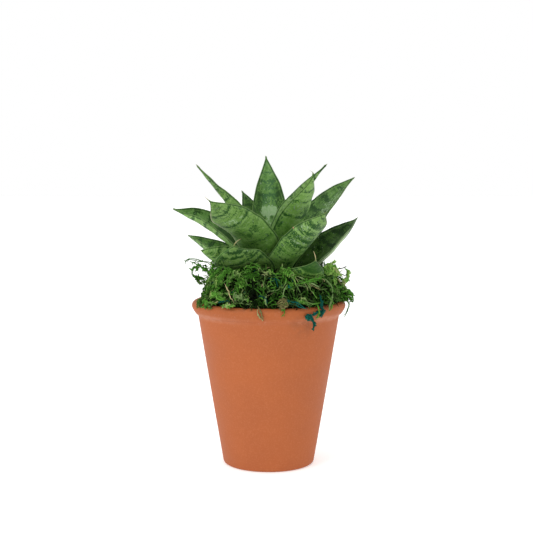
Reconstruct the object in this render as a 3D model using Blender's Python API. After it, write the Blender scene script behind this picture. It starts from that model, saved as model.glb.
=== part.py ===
"""Bird's-nest snake plant in a small terracotta pot, dressed with dyed curly moss.

Units are metres and +Z is up. The origin is the centre of the pot's foot, on the
surface it stands on. The front of the plant looks along -Y.

Pieces: the pot, the soil in it, the rhizome with its roots in the soil, one node
for every leaf of the rosette, the moss round the leaves, and a tuft of teal moss.
"""
import math
import random

import bmesh
import bpy
import numpy as np
from mathutils import Vector
from mathutils.bvhtree import BVHTree

# General
MM = 0.001
GAP = 0.3 * MM                      # air between pieces that touch
MERGE = 0.001 * MM                  # points nearer than this are one point
UP = np.array([0.0, 0.0, 1.0])
UP_Z = Vector((0.0, 0.0, 1.0))

# Pot: a slim terracotta pot of the nominal 4 inch size with a rolled rim
POT_HEIGHT = 113.5 * MM
RIM_RADIUS = 53 * MM                # widest point of the rolled rim
CREASE_RADIUS = 48.9 * MM           # where the rim's bead meets the wall
CREASE_HEIGHT = 103.9 * MM
FOOT_RADIUS = 31.5 * MM
WALL = 5 * MM
FLOOR = 6 * MM
DRAIN_RADIUS = 6 * MM
POT_SIDES = 36

# Soil and rhizome
SOIL_EDGE = 105 * MM                # height of the soil at the pot's wall
SOIL_TOP = 108 * MM                 # height of the soil beside the rhizome
CROWN_TOP = 111 * MM                # the leaves stand on the rhizome here
CROWN_RADIUS = 22.4 * MM
CROWN_BOTTOM = 87.5 * MM
ROOTS = 6
ROOT_RADIUS = 1.5 * MM
SOIL_SIDES = 24

# Leaves
SHEATH_HALF = 7.6 * MM              # half width of a leaf where it clasps the crown
NEST_STEP = 2.4 * MM                # one leaf base outside another
FIRST_RADIUS = 3.2 * MM
LEAF_THICK = 2.2 * MM
LEAF_EDGE = 0.7 * MM
STATIONS = 11
COLUMNS = 7

# Moss
MOSS_INNER = 24.5 * MM
MOSS_TOP = 130.5 * MM               # top of the dense core, below the strands
MOSS_AT_RIM = 116.1 * MM            # the core's height where it ends over the rim
MOSS_LIP = 114.4 * MM               # the lowest it lies on the rim
MOSS_SIDES = 40
CLEARANCE = 2 * MM                  # between the core and the leaves over it
STRANDS = 110
STRAND_RADIUS = 1.15 * MM
STRAND_SIDES = 3
STRAND_STEPS = 5
STRAND_REACH = 56.5 * MM            # how far strands go from the axis
STRAND_LOW = 107.5 * MM
STRAND_HIGH = 139.5 * MM
SEED = 7
TEAL_AZIMUTH = -57.5                # degrees from +X, where the teal tuft hangs


# Scene and mesh helpers

def clear_scene():
    for ob in list(bpy.data.objects):
        bpy.data.objects.remove(ob, do_unlink=True)


def make_material(name, colour, roughness):
    mat = bpy.data.materials.new(name)
    mat.use_nodes = True
    shader = mat.node_tree.nodes["Principled BSDF"]
    shader.inputs["Base Color"].default_value = (*colour, 1.0)
    shader.inputs["Roughness"].default_value = roughness
    shader.inputs["Metallic"].default_value = 0.0
    return mat


def add_object(name, points, faces, material, smooth_angle=None):
    """One mesh object from points and faces, with its normals made to face out."""
    mesh = bpy.data.meshes.new(name)
    mesh.from_pydata([tuple(map(float, p)) for p in points], [], faces)
    bm = bmesh.new()
    bm.from_mesh(mesh)
    bmesh.ops.recalc_face_normals(bm, faces=bm.faces)
    if bm.calc_volume(signed=True) < 0:
        bmesh.ops.reverse_faces(bm, faces=bm.faces)
    bm.to_mesh(mesh)
    bm.free()
    mesh.materials.append(material)
    if smooth_angle:
        mesh.shade_smooth()
        mesh.set_sharp_from_angle(angle=math.radians(smooth_angle))
    ob = bpy.data.objects.new(name, mesh)
    bpy.context.collection.objects.link(ob)
    return ob


def turned(name, profile, sides, material, closed=False, smooth_angle=40):
    """A solid turned about Z from (radius, height) points, up its outer side.

    An open profile starts and ends on the axis. A closed one makes a ring.
    """
    points = []
    rings = []
    for radius, height in profile:
        if radius < 1e-6:
            rings.append([len(points)] * sides)
            points.append((0.0, 0.0, height))
            continue
        ring = []
        for k in range(sides):
            a = 2 * math.pi * k / sides
            ring.append(len(points))
            points.append((radius * math.cos(a), radius * math.sin(a), height))
        rings.append(ring)
    pairs = list(zip(rings[:-1], rings[1:]))
    if closed:
        pairs.append((rings[-1], rings[0]))
    faces = []
    for low, high in pairs:
        for k in range(sides):
            n = (k + 1) % sides
            corners = [low[k], low[n], high[n], high[k]]
            corners = list(dict.fromkeys(corners))
            if len(corners) > 2:
                faces.append(corners)
    return add_object(name, points, faces, material, smooth_angle)


def tube(name, path, radii, sides, material):
    """A closed tube along a path of points, with a flat cap at each end."""
    path = [Vector(p) for p in path]
    points = []
    faces = []
    side = None
    for i, p in enumerate(path):
        ahead = path[min(i + 1, len(path) - 1)] - path[max(i - 1, 0)]
        ahead.normalize()
        if side is None:
            side = ahead.orthogonal().normalized()
        side = (side - ahead * side.dot(ahead)).normalized()
        other = ahead.cross(side)
        for k in range(sides):
            a = 2 * math.pi * k / sides
            points.append(p + (side * math.cos(a) + other * math.sin(a)) * radii[i])
    for i in range(len(path) - 1):
        for k in range(sides):
            n = (k + 1) % sides
            a, b = i * sides, (i + 1) * sides
            faces.append([a + k, a + n, b + n, b + k])
    faces.append(list(range(sides)))
    faces.append([(len(path) - 1) * sides + k for k in range(sides)])
    return add_object(name, points, faces, material)


def boolean(target, pieces, operation, solver="EXACT"):
    """Join the pieces to the target, or cut them out of it, and remove them."""
    group = bpy.data.collections.new("boolean_pieces")
    bpy.context.scene.collection.children.link(group)
    for ob in pieces:
        group.objects.link(ob)
    modifier = target.modifiers.new("boolean", "BOOLEAN")
    modifier.operation = operation
    modifier.solver = solver
    modifier.use_self = solver == "EXACT"
    modifier.operand_type = "COLLECTION"
    modifier.collection = group
    bpy.context.view_layer.update()
    shape = target.evaluated_get(bpy.context.evaluated_depsgraph_get())
    result = bpy.data.meshes.new_from_object(shape)
    target.modifiers.clear()
    old = target.data
    target.data = result
    bpy.data.meshes.remove(old)
    for ob in pieces:
        bpy.data.objects.remove(ob, do_unlink=True)
    bpy.data.collections.remove(group)
    return target


def keep_main_body(ob):
    """Drop loose scraps and sealed hollows, so that the node is one closed body."""
    bm = bmesh.new()
    bm.from_mesh(ob.data)
    bmesh.ops.remove_doubles(bm, verts=bm.verts, dist=MERGE)
    bmesh.ops.dissolve_degenerate(bm, edges=bm.edges, dist=MERGE)
    bmesh.ops.triangulate(bm, faces=bm.faces)
    groups = []
    seen = set()
    for start in bm.faces:
        if start in seen:
            continue
        group = []
        stack = [start]
        seen.add(start)
        while stack:
            face = stack.pop()
            group.append(face)
            for edge in face.edges:
                for beside in edge.link_faces:
                    if beside not in seen:
                        seen.add(beside)
                        stack.append(beside)
        groups.append(group)
    main = max(groups, key=len)
    spare = [face for group in groups if group is not main for face in group]
    bmesh.ops.delete(bm, geom=spare, context="FACES")
    bm.to_mesh(ob.data)
    bm.free()


# Pot, soil and rhizome

def wall_radius(height):
    """Outer radius of the pot's straight wall."""
    share = height / CREASE_HEIGHT
    return FOOT_RADIUS + (CREASE_RADIUS - FOOT_RADIUS) * share


def inner_radius(height):
    return wall_radius(height) - WALL * 1.02


def make_pot(material):
    """Foot with a drain hole, straight wall, and a rolled rim above a crease."""
    top = POT_HEIGHT
    rim = RIM_RADIUS
    bead = 6.6 * MM                 # half height of the rolled rim
    mid = top - 3.4 * MM            # height of the rim's widest point
    profile = [
        (DRAIN_RADIUS, 0.6 * MM),
        (DRAIN_RADIUS + 0.6 * MM, 0.0),
        (FOOT_RADIUS - 1.6 * MM, 0.0),
        (FOOT_RADIUS - 0.4 * MM, 0.5 * MM),
        (FOOT_RADIUS + 0.2 * MM, 1.8 * MM),
        (wall_radius(CREASE_HEIGHT / 2), CREASE_HEIGHT / 2),
        (wall_radius(CREASE_HEIGHT) - 0.3 * MM, CREASE_HEIGHT - 1.0 * MM),
        (CREASE_RADIUS + 0.1 * MM, CREASE_HEIGHT),
        (CREASE_RADIUS + 1.5 * MM, CREASE_HEIGHT + 1.0 * MM),
        (rim - 1.0 * MM, mid - bead * 0.42),
        (rim - 0.2 * MM, mid - bead * 0.18),
        (rim, mid),
        (rim - 0.3 * MM, mid + 1.4 * MM),
        (rim - 1.3 * MM, top - 0.8 * MM),
        (rim - 2.4 * MM, top - 0.2 * MM),
        (rim - 3.6 * MM, top),
        (rim - 5.2 * MM, top - 0.5 * MM),
        (rim - 6.6 * MM, top - 2.2 * MM),
        (inner_radius(POT_HEIGHT - 6 * MM) - 0.1 * MM, top - 6 * MM),
        (inner_radius(FLOOR + 2.5 * MM), FLOOR + 2.5 * MM),
        (inner_radius(FLOOR) - 2.2 * MM, FLOOR),
        (DRAIN_RADIUS, FLOOR),
    ]
    return turned("pot", profile, POT_SIDES, material, closed=True, smooth_angle=35)


def crown_profile(grow):
    """The short stem under the leaves; grow makes it larger all round."""
    neck = 12 * MM
    return [
        (0.0, CROWN_BOTTOM - grow),
        (6 * MM + grow * 0.6, CROWN_BOTTOM + 1 * MM - grow * 0.8),
        (10 * MM + grow, CROWN_BOTTOM + 6 * MM),
        (neck + grow, CROWN_BOTTOM + 12 * MM),
        (CROWN_RADIUS + grow, CROWN_TOP - 4.5 * MM - grow * 0.6),
        (CROWN_RADIUS + grow, CROWN_TOP - 0.6 * MM + grow * 20),
        (CROWN_RADIUS - 0.6 * MM + grow, CROWN_TOP + grow * 20),
        (0.0, CROWN_TOP + grow * 20),
    ]


def root_tubes(grow, material):
    """Thick roots that run out and down from the crown, by a seeded rule."""
    draw = random.Random(SEED)
    roots = []
    for k in range(ROOTS):
        turn = 2 * math.pi * (k + 0.3 * draw.random()) / ROOTS
        depth = draw.uniform(38, 58) * MM
        reach = draw.uniform(12, 19) * MM
        wave = draw.uniform(-0.35, 0.35)
        path = []
        radii = []
        for i in range(7):
            share = i / 6
            radius = 4 * MM + reach * share ** 0.7
            a = turn + wave * math.sin(2.6 * share)
            height = CROWN_BOTTOM + 5 * MM - depth * share ** 1.3
            path.append((radius * math.cos(a), radius * math.sin(a), height))
            radii.append(ROOT_RADIUS * (1 - 0.45 * share) + grow)
        if grow:
            last = Vector(path[-1])
            path[-1] = last + (last - Vector(path[-2])).normalized() * grow
        roots.append(tube("root", path, radii, 6, material))
    return roots


def make_rhizome(material):
    crown = turned("rhizome", crown_profile(0.0), SOIL_SIDES, material)
    boolean(crown, root_tubes(0.0, material), "UNION")
    keep_main_body(crown)
    return crown


def soil_height(radius):
    """Top of the soil: a low mound from the wall up to the rhizome."""
    edge = inner_radius(SOIL_EDGE)
    share = (edge - radius) / (edge - CROWN_RADIUS)
    return SOIL_EDGE + (SOIL_TOP - SOIL_EDGE) * min(1.0, max(0.0, share)) ** 0.8


def make_soil(material):
    """Fills the pot up to a low mound, and is hollowed for the rhizome and roots."""
    floor = FLOOR + GAP
    profile = [(0.0, floor)]
    profile.append((inner_radius(FLOOR) - 2.6 * MM, floor))
    profile.append((inner_radius(FLOOR + 2.5 * MM) - GAP, FLOOR + 3.0 * MM))
    edge = inner_radius(SOIL_EDGE) - 1.3 * GAP
    profile.append((edge, SOIL_EDGE))
    for radius in (0.040, 0.034, 0.028, 0.020):
        profile.append((radius, soil_height(radius)))
    profile.append((0.0, SOIL_TOP))
    soil = turned("soil", profile, SOIL_SIDES, material)
    hollow = turned("hollow", crown_profile(GAP * 1.2), SOIL_SIDES, material)
    boolean(soil, [hollow] + root_tubes(GAP * 1.2, material), "DIFFERENCE")
    keep_main_body(soil)
    return soil


# Leaves

def leaf(azimuth, base, reach, height, lift, lean, swing, width, taper,
         channel, hood, roll, blunt, cup, spine=(2, 0)):
    """The named sizes of one leaf, in millimetres and degrees.

    azimuth and base are the directions of the tip and of the sheath round the axis,
    counted from +X towards +Y. reach and height place the tip. The leaf leaves the
    crown upright for about lift and arrives at its tip rising at lean degrees and
    turned by swing from its azimuth. width is its greatest width, reached taper from
    the tip. channel is the half angle of its trough, hood times that at the tip.
    roll twists the blade, blunt shapes its tip, and cup sinks the keel below its
    margins. spine is the length of the horny point and how far it curls up.
    """
    return locals()


# The inner leaves come first: each sheath stands outside those before it.
# azimuth, base, reach, height, lift, lean, swing, width, taper, channel, hood, roll,
# blunt, cup, spine; the front of the plant is azimuth -90, and +X is its right
LEAVES = [
    leaf(92, 92, 54.5, 212, 30, 50, 6, 26.5, 54, 45, 0.8, 0, 1.15, 0.15, (1.2, 0)),
    leaf(-5, -8, 39, 206, 20, 43, -16, 32, 68, 62, 1.5, 60, 1.5, 0, (1.5, 0)),
    leaf(190, 200, 49, 205.5, 40, 50, 2, 27.5, 47, 50, 0.4, -6, 1.25, 0, (1.5, 5)),
    leaf(-51, -54, 46, 200.5, 41, 65, -18, 29.5, 31, 59, 0.35, -13, 1.4, 0, (3, 60)),
    leaf(115, 126, 45, 187, 22, 44, 10, 26.5, 47, 28, 0.8, 2, 1, 0.5, (1.2, 0)),
    leaf(24, 28, 66, 197, 28, 34, -10, 28.5, 50, 30, 0.9, -22, 1, 0.55, (1.2, 0)),
    leaf(-124, -106, 67.5, 183.5, 45, 40, -35, 33, 22, 36, 0.2, -12, 1.2, 0, (4, 0)),
    leaf(62, 66, 56, 177.5, 22, 35, 0, 27, 42, 38, 0.9, 0, 1, 0.6, (3, 10)),
    leaf(-54, -66, 61.5, 175.5, 39, 38, 10, 30.5, 22, 68, 0.25, 0, 1, 0.95, (1.2, 0)),
    leaf(176, 168, 66, 176, 36, 26, 20, 28.5, 29, 52, 1.6, 18, 1.25, 0, (0.5, 0)),
    leaf(26, 34, 70, 168, 12, 27, 33, 33, 37, 54, 1.15, -10, 1.2, 0.15, (2.4, 0)),
    leaf(98, 97, 49, 165.5, 22, 36, 0, 27, 42, 38, 0.9, -4, 1, 0.6, (3, 10)),
    leaf(-140, -144, 57.5, 150.5, 24, 9, -4, 28.5, 33, 40, 0.85, -34, 0.8, 0.6, (1.2, 0)),
    leaf(153, 152, 64, 156, 28, 19, -3, 29, 32, 60, 1.1, 5, 0.95, 0.55, (1.2, 0)),
    leaf(-59, -46, 58.5, 144.8, 27, 50, -20, 28.5, 26, 36, 0.75, 17, 1.0, 0.6, (6.5, 60)),
    leaf(-114, -108, 55, 154.5, 40, 49, 29, 33, 16, 26, 0.55, -25, 1, 1, (7.5, 75)),
    leaf(45, 48, 60, 151.5, 5, 34, 3, 27, 42, 37, 0.9, -4, 1, 0.6, (3, 10)),
    leaf(129, 128, 46, 149.5, 18, 30, 0, 27, 42, 36, 0.9, 24, 1, 0.7, (3, 10)),
    leaf(76, 82, 53, 144.5, 5, 35, 4, 27, 42, 34, 0.9, -14, 1, 0.65, (3, 10)),
]


def smooth(x):
    x = np.clip(x, 0.0, 1.0)
    return x * x * (3 - 2 * x)


def unit(v):
    return v / np.linalg.norm(v, axis=-1, keepdims=True)


def outward(degrees):
    a = math.radians(degrees)
    return np.array([math.cos(a), math.sin(a), 0.0])


def nest_radii():
    """How far from the axis each sheath stands, so that it clears those inside."""
    placed = []
    for spec in LEAVES:
        radius = FIRST_RADIUS
        clear = False
        while not clear:
            clear = True
            reach = min(SHEATH_HALF, radius) / radius
            for other, azimuth in placed:
                apart = abs((spec["base"] - azimuth + 180) % 360 - 180)
                span = reach + min(SHEATH_HALF, other) / other
                if apart < math.degrees(span) + 2 and radius - other < NEST_STEP:
                    clear = False
            if not clear:
                radius += 0.05 * MM
        placed.append((radius, spec["base"]))
    return [radius for radius, azimuth in placed]


def leaf_path(spec, base_radius, count):
    """Points and directions along a leaf, from the crown to its tip."""
    start = outward(spec["base"]) * base_radius + UP * (CROWN_TOP + 0.5 * MM)
    end = outward(spec["azimuth"]) * spec["reach"] * MM + UP * spec["height"] * MM
    span = np.linalg.norm(end - start)
    lean = math.radians(spec["lean"])
    arrive = outward(spec["azimuth"] + spec["swing"]) * math.cos(lean) + UP * math.sin(lean)
    first = start + UP * spec["lift"] * MM
    second = end - arrive * 0.42 * span
    t = 1 - (1 - np.linspace(0, 1, count)[:, None]) ** 1.2
    path = ((1 - t) ** 3 * start + 3 * t * (1 - t) ** 2 * first
            + 3 * t ** 2 * (1 - t) * second + t ** 3 * end)
    along = unit((1 - t) ** 2 * (first - start) + 2 * t * (1 - t) * (second - first)
                 + t ** 2 * (end - second))
    return path, along


def leaf_faces(spec, base_radius, stations, columns):
    """Grids of points on the upper and under side of a leaf, and its end direction."""
    path, along = leaf_path(spec, base_radius, stations)
    steps = np.linalg.norm(np.diff(path, axis=0), axis=1)
    travelled = np.concatenate([[0], np.cumsum(steps)])
    total = travelled[-1]
    share = travelled / total
    open_out = smooth(share / 0.55)
    turn = np.radians(spec["base"] + (spec["azimuth"] - spec["base"]) * smooth(share))
    level = np.stack([np.sin(turn), -np.cos(turn), 0 * turn], axis=1)
    side = unit(level - (level * along).sum(1, keepdims=True) * along)
    inward = np.cross(side, along)
    roll = np.radians(spec["roll"]) * smooth(share)
    cos, sin = np.cos(roll)[:, None], np.sin(roll)[:, None]
    side, inward = side * cos + inward * sin, inward * cos - side * sin

    to_tip = (total - travelled) / (spec["taper"] * MM)
    outline = np.sin(np.pi / 2 * np.clip(to_tip, 0, 1)) ** spec["blunt"]
    sheath = min(SHEATH_HALF, base_radius)
    half = (sheath + (spec["width"] / 2 * MM - sheath) * open_out) * outline
    half = np.maximum(half, 0.45 * MM)
    clasp = sheath / base_radius
    trough = clasp + (math.radians(spec["channel"]) - clasp) * open_out
    trough = trough * (1 + (spec["hood"] - 1) * smooth((share - 0.5) / 0.5))
    trough = np.maximum(trough, 0.02)
    bend = half / trough
    across = np.linspace(-1, 1, columns)
    angle = across[None, :] * trough[:, None]
    sink = spec["cup"] * open_out * bend * (1 - np.cos(trough))
    x = bend[:, None] * np.sin(angle)
    y = bend[:, None] * (1 - np.cos(angle)) - sink[:, None]
    middle = path[:, None] + x[..., None] * side[:, None] + y[..., None] * inward[:, None]
    out = -np.sin(angle)[..., None] * side[:, None] + np.cos(angle)[..., None] * inward[:, None]
    thick = LEAF_THICK * (1 - 0.45 * smooth(share))[:, None] * (1 - 0.55 * across ** 2)
    thick = np.maximum(thick, LEAF_EDGE)
    upper = middle + out * thick[..., None] / 2
    under = middle - out * thick[..., None] / 2
    length, curl = spec["spine"]
    curl = math.radians(curl)
    point = path[-1] + (along[-1] * math.cos(curl) + inward[-1] * math.sin(curl)) * length * MM
    return upper, under, point


def make_leaf(name, spec, base_radius, material):
    """A closed blade, split into triangles alike on both faces, ending in a spine."""
    upper, under, point = leaf_faces(spec, base_radius, STATIONS, COLUMNS)
    n, m = STATIONS, COLUMNS
    points = np.concatenate([upper.reshape(-1, 3), under.reshape(-1, 3), point[None]])

    def at(i, j, side):
        return side * n * m + i * m + j

    faces = []
    for i in range(n - 1):
        for j in range(m - 1):
            a, b = at(i, j, 0), at(i, j + 1, 0)
            c, d = at(i + 1, j + 1, 0), at(i + 1, j, 0)
            faces += [[a, b, c], [a, c, d]]
            a, b, c, d = a + n * m, b + n * m, c + n * m, d + n * m
            faces += [[a, c, b], [a, d, c]]
        for j in (0, m - 1):
            a, b = at(i, j, 0), at(i + 1, j, 0)
            faces += [[a, b, b + n * m], [a, b + n * m, a + n * m]]
    for j in range(m - 1):
        a, b = at(0, j, 0), at(0, j + 1, 0)
        faces += [[a, b, b + n * m], [a, b + n * m, a + n * m]]
    tip = len(points) - 1
    last = n - 1
    rim = [at(last, j, 0) for j in range(m)] + [at(last, j, 1) for j in reversed(range(m))]
    for a, b in zip(rim, rim[1:] + rim[:1]):
        faces.append([a, b, tip])
    return add_object(name, points, faces, material, smooth_angle=60)


# Moss

def tree_of(objects):
    """One search tree over several objects' faces."""
    points = []
    faces = []
    for ob in objects:
        start = len(points)
        points += [v.co.copy() for v in ob.data.vertices]
        faces += [[start + i for i in p.vertices] for p in ob.data.polygons]
    return BVHTree.FromPolygons(points, faces)


def room_above(leaves, x, y):
    """Height of the lowest leaf over a spot, looked for a little to each side."""
    lowest = 1.0
    spread = 2.2 * MM
    for dx, dy in ((0, 0), (1, 0), (-1, 0), (0, 1), (0, -1)):
        start = Vector((x + dx * spread, y + dy * spread, SOIL_EDGE - 10 * MM))
        hit = leaves.ray_cast(start, UP_Z)
        if hit[0]:
            lowest = min(lowest, hit[0].z)
    return lowest


def moss_top(radius, azimuth):
    """Height of the core with no leaf over it: a mound that falls to the rim."""
    rise = smooth((49.5 * MM - radius) / (13 * MM))
    lumps = 1.3 * MM * math.sin(3 * azimuth + 0.6) + 0.9 * MM * math.sin(7 * azimuth + 2)
    return MOSS_AT_RIM + (MOSS_TOP - MOSS_AT_RIM + lumps) * rise


def make_moss_core(leaves, material):
    """A ring that lies on the soil and rim and is pressed down by the leaves."""
    bottom = [
        (MOSS_INNER, soil_height(MOSS_INNER) + GAP),
        (36 * MM, soil_height(36 * MM) + GAP),
        (43.4 * MM, soil_height(43.4 * MM) + GAP),
        (43.9 * MM, 109.7 * MM),
        (45.9 * MM, 113.8 * MM),
        (50.4 * MM, 114.2 * MM),
    ]
    radii = [51.4 * MM, 49.4 * MM, 46 * MM, 42 * MM, 37 * MM, 32 * MM, 28 * MM, MOSS_INNER]
    points = []
    for k in range(MOSS_SIDES):
        a = 2 * math.pi * k / MOSS_SIDES
        for radius, height in bottom:
            points.append((radius * math.cos(a), radius * math.sin(a), height))
        for radius in radii:
            x, y = radius * math.cos(a), radius * math.sin(a)
            floor = MOSS_LIP if radius > 44 * MM else soil_height(radius) + 2 * MM
            roof = room_above(leaves, x, y) - CLEARANCE
            height = max(floor, min(moss_top(radius, a), roof))
            points.append((x, y, height))
    row = len(bottom) + len(radii)
    faces = []
    for k in range(MOSS_SIDES):
        n = (k + 1) % MOSS_SIDES
        for j in range(row):
            i = (j + 1) % row
            faces.append([k * row + j, k * row + i, n * row + i, n * row + j])
    core = add_object("moss", points, faces, material, smooth_angle=60)
    bm = bmesh.new()
    bm.from_mesh(core.data)
    bmesh.ops.triangulate(bm, faces=bm.faces)
    bm.to_mesh(core.data)
    bm.free()
    return core


def strand_path(draw, start, aim, length):
    """A curly strand: a short helix about a direction that droops a little."""
    aim = aim.normalized()
    side = aim.orthogonal().normalized()
    other = aim.cross(side)
    turns = draw.uniform(0.7, 1.3)
    phase = draw.uniform(0, 2 * math.pi)
    curl = draw.uniform(1.2, 2.8) * MM
    path = []
    for i in range(STRAND_STEPS + 1):
        share = i / STRAND_STEPS
        a = phase + 2 * math.pi * turns * share
        swirl = curl * share ** 0.6
        p = start + aim * length * share
        p = p + side * math.cos(a) * swirl + other * math.sin(a) * swirl
        p.z -= 0.16 * length * share ** 2
        path.append(p)
    return path


def strand_fits(path, leaves, pot):
    """Whether a strand keeps clear of the leaves and the pot and stays in bounds."""
    for i in range(len(path) - 1):
        for share in (0.0, 0.5, 1.0):
            p = path[i].lerp(path[i + 1], share)
            radius = math.hypot(p.x, p.y)
            if radius > STRAND_REACH or p.z > STRAND_HIGH or p.z < STRAND_LOW:
                return False
            if radius < MOSS_INNER + 1.5 * MM and p.z < MOSS_LIP + 7 * MM:
                return False
            if leaves.find_nearest(p)[3] < STRAND_RADIUS + 0.6 * MM:
                return False
            if pot.find_nearest(p)[3] < STRAND_RADIUS + 0.35 * MM:
                return False
    return True


def make_moss(leaves, pot, material):
    """The core with curly strands standing out of it all round."""
    core = make_moss_core(leaves, material)
    ground = tree_of([core])
    draw = random.Random(SEED)
    golden = math.pi * (3 - math.sqrt(5))
    strands = []
    tries = 0
    while len(strands) < STRANDS and tries < STRANDS * 60:
        tries += 1
        a = tries * golden
        radius = draw.uniform(26.5, 50.2) * MM
        x, y = radius * math.cos(a), radius * math.sin(a)
        hit = ground.ray_cast(Vector((x, y, 0.3)), -UP_Z)
        if not hit[0]:
            continue
        outer = (radius - MOSS_INNER) / (RIM_RADIUS - MOSS_INNER)
        start = hit[0] - UP_Z * 1.6 * MM
        spread = draw.uniform(-0.9, 0.9)
        flat = Vector((math.cos(a + spread), math.sin(a + spread), 0))
        aim = flat * draw.uniform(0.2, 0.5 + 0.9 * outer) + UP_Z * draw.uniform(0.35, 1.0)
        path = strand_path(draw, start, aim, draw.uniform(9, 17) * MM)
        if not strand_fits(path, leaves, pot):
            continue
        radii = [STRAND_RADIUS * (1.1 - 0.5 * i / STRAND_STEPS) for i in range(len(path))]
        strands.append(tube("strand", path, radii, STRAND_SIDES, material))
    boolean(core, strands, "UNION", solver="MANIFOLD")
    keep_main_body(core)
    return core


def make_teal_tuft(material):
    """A tuft of teal moss that hangs over the rim at the front right."""
    out = Vector(outward(TEAL_AZIMUTH))
    across = Vector((-out.y, out.x, 0))
    over_rim = [(52.2, 116.4), (54.6, 114.3), (55.6, 110.5), (54.9, 106.5), (52.6, 102.5), (52, 98)]
    thickness = [1.1, 1.2, 1.3, 1.3, 1.1, 0.6]
    path = [(out * radius + UP_Z * height) * MM for radius, height in over_rim]
    tuft = tube("moss_tuft_teal", path, [t * MM for t in thickness], 6, material)
    lobes = []
    for height, reach, drop in ((110.5, 5.5, 1.5), (107.5, -5, -1), (104.5, 4, 3.5), (102, -3, 3)):
        stand_off = 55.3 * MM
        if height * MM < CREASE_HEIGHT + MM:
            stand_off = wall_radius(height * MM) + 5.2 * MM
        root = out * stand_off + UP_Z * height * MM
        end = root + (across * reach + out * 0.8 - UP_Z * drop) * MM
        middle = root.lerp(end, 0.55) + out * 0.7 * MM
        lobes.append(tube("lobe", [root, middle, end], [1.2 * MM, 1.5 * MM, 0.7 * MM], 5, material))
    boolean(tuft, lobes, "UNION")
    keep_main_body(tuft)
    return tuft


def build():
    clear_scene()
    terracotta = make_material("terracotta", (0.53, 0.155, 0.058), 0.82)
    earth = make_material("soil", (0.045, 0.030, 0.020), 0.95)
    stem = make_material("rhizome", (0.50, 0.42, 0.26), 0.7)
    green = make_material("leaf", (0.105, 0.225, 0.065), 0.42)
    moss_green = make_material("moss", (0.055, 0.155, 0.020), 0.9)
    teal = make_material("moss_teal", (0.010, 0.110, 0.075), 0.9)

    pot = make_pot(terracotta)
    make_rhizome(stem)
    make_soil(earth)
    leaves = []
    for number, (spec, radius) in enumerate(zip(LEAVES, nest_radii()), start=1):
        leaves.append(make_leaf(f"leaf_{number:02d}", spec, radius, green))
    make_moss(tree_of(leaves), tree_of([pot]), moss_green)
    make_teal_tuft(teal)


build()
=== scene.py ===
"""Looks of a bird's-nest snake plant in a small terracotta pot dressed with curly moss.

Metres, +Z up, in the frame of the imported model: the origin is the centre of the pot's
foot and the plant's front faces -Y.
"""

import math

import bpy
import numpy as np
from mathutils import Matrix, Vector
from mathutils.bvhtree import BVHTree


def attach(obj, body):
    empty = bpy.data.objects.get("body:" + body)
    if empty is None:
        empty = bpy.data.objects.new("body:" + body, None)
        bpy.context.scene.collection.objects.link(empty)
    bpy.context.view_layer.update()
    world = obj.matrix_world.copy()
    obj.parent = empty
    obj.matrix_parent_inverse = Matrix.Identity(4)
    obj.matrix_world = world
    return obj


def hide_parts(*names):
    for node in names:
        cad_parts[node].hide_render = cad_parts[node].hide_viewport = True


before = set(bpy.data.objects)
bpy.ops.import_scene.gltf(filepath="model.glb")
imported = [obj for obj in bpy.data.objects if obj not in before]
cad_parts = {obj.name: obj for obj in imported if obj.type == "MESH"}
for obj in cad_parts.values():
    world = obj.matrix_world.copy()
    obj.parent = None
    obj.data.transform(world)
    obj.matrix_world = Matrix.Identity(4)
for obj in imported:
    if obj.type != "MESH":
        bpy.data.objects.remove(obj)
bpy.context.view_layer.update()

MM = 0.001
UP = np.array([0.0, 0.0, 1.0])
TAU = 2 * math.pi


# Numbers and meshes

def smooth(x):
    x = np.clip(x, 0.0, 1.0)
    return x * x * (3 - 2 * x)


def unit(v):
    return v / np.maximum(np.linalg.norm(v, axis=-1, keepdims=True), 1e-12)


def outward(degrees):
    a = math.radians(degrees)
    return np.array([math.cos(a), math.sin(a), 0.0])


def polar(azimuth, radius, height):
    """A point from degrees round the axis and millimetres out and up."""
    return outward(azimuth) * radius * MM + UP * height * MM


def mesh_object(name, points, face_sets, material, attributes=None):
    """A smooth mesh from arrays of points and faces, with values on its points."""
    points = np.asarray(points, np.float32).reshape(-1, 3)
    face_sets = [np.asarray(f, np.int32) for f in face_sets]
    corners = np.concatenate([f.ravel() for f in face_sets])
    sizes = np.concatenate([np.full(len(f), f.shape[1], np.int32) for f in face_sets])
    starts = np.concatenate([[0], np.cumsum(sizes)[:-1]]).astype(np.int32)
    mesh = bpy.data.meshes.new(name)
    mesh.vertices.add(len(points))
    mesh.vertices.foreach_set("co", points.ravel())
    mesh.loops.add(len(corners))
    mesh.loops.foreach_set("vertex_index", corners)
    mesh.polygons.add(len(sizes))
    mesh.polygons.foreach_set("loop_start", starts)
    mesh.update(calc_edges=True)
    for key, values in (attributes or {}).items():
        values = np.asarray(values, np.float32)
        if values.ndim == 2:
            layer = mesh.attributes.new(key, "FLOAT_VECTOR", "POINT")
            layer.data.foreach_set("vector", values.ravel())
        else:
            layer = mesh.attributes.new(key, "FLOAT", "POINT")
            layer.data.foreach_set("value", values)
    mesh.validate()
    mesh.shade_smooth()
    mesh.materials.append(material)
    ob = bpy.data.objects.new(name, mesh)
    bpy.context.scene.collection.objects.link(ob)
    return ob


def ring_faces(rings, around):
    """Quads between neighbouring closed rings of points."""
    i, k = np.meshgrid(np.arange(rings - 1), np.arange(around), indexing="ij")
    n = (k + 1) % around
    a, b = i * around + k, i * around + n
    return np.stack([a, b, b + around, a + around], axis=-1).reshape(-1, 4)


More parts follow.
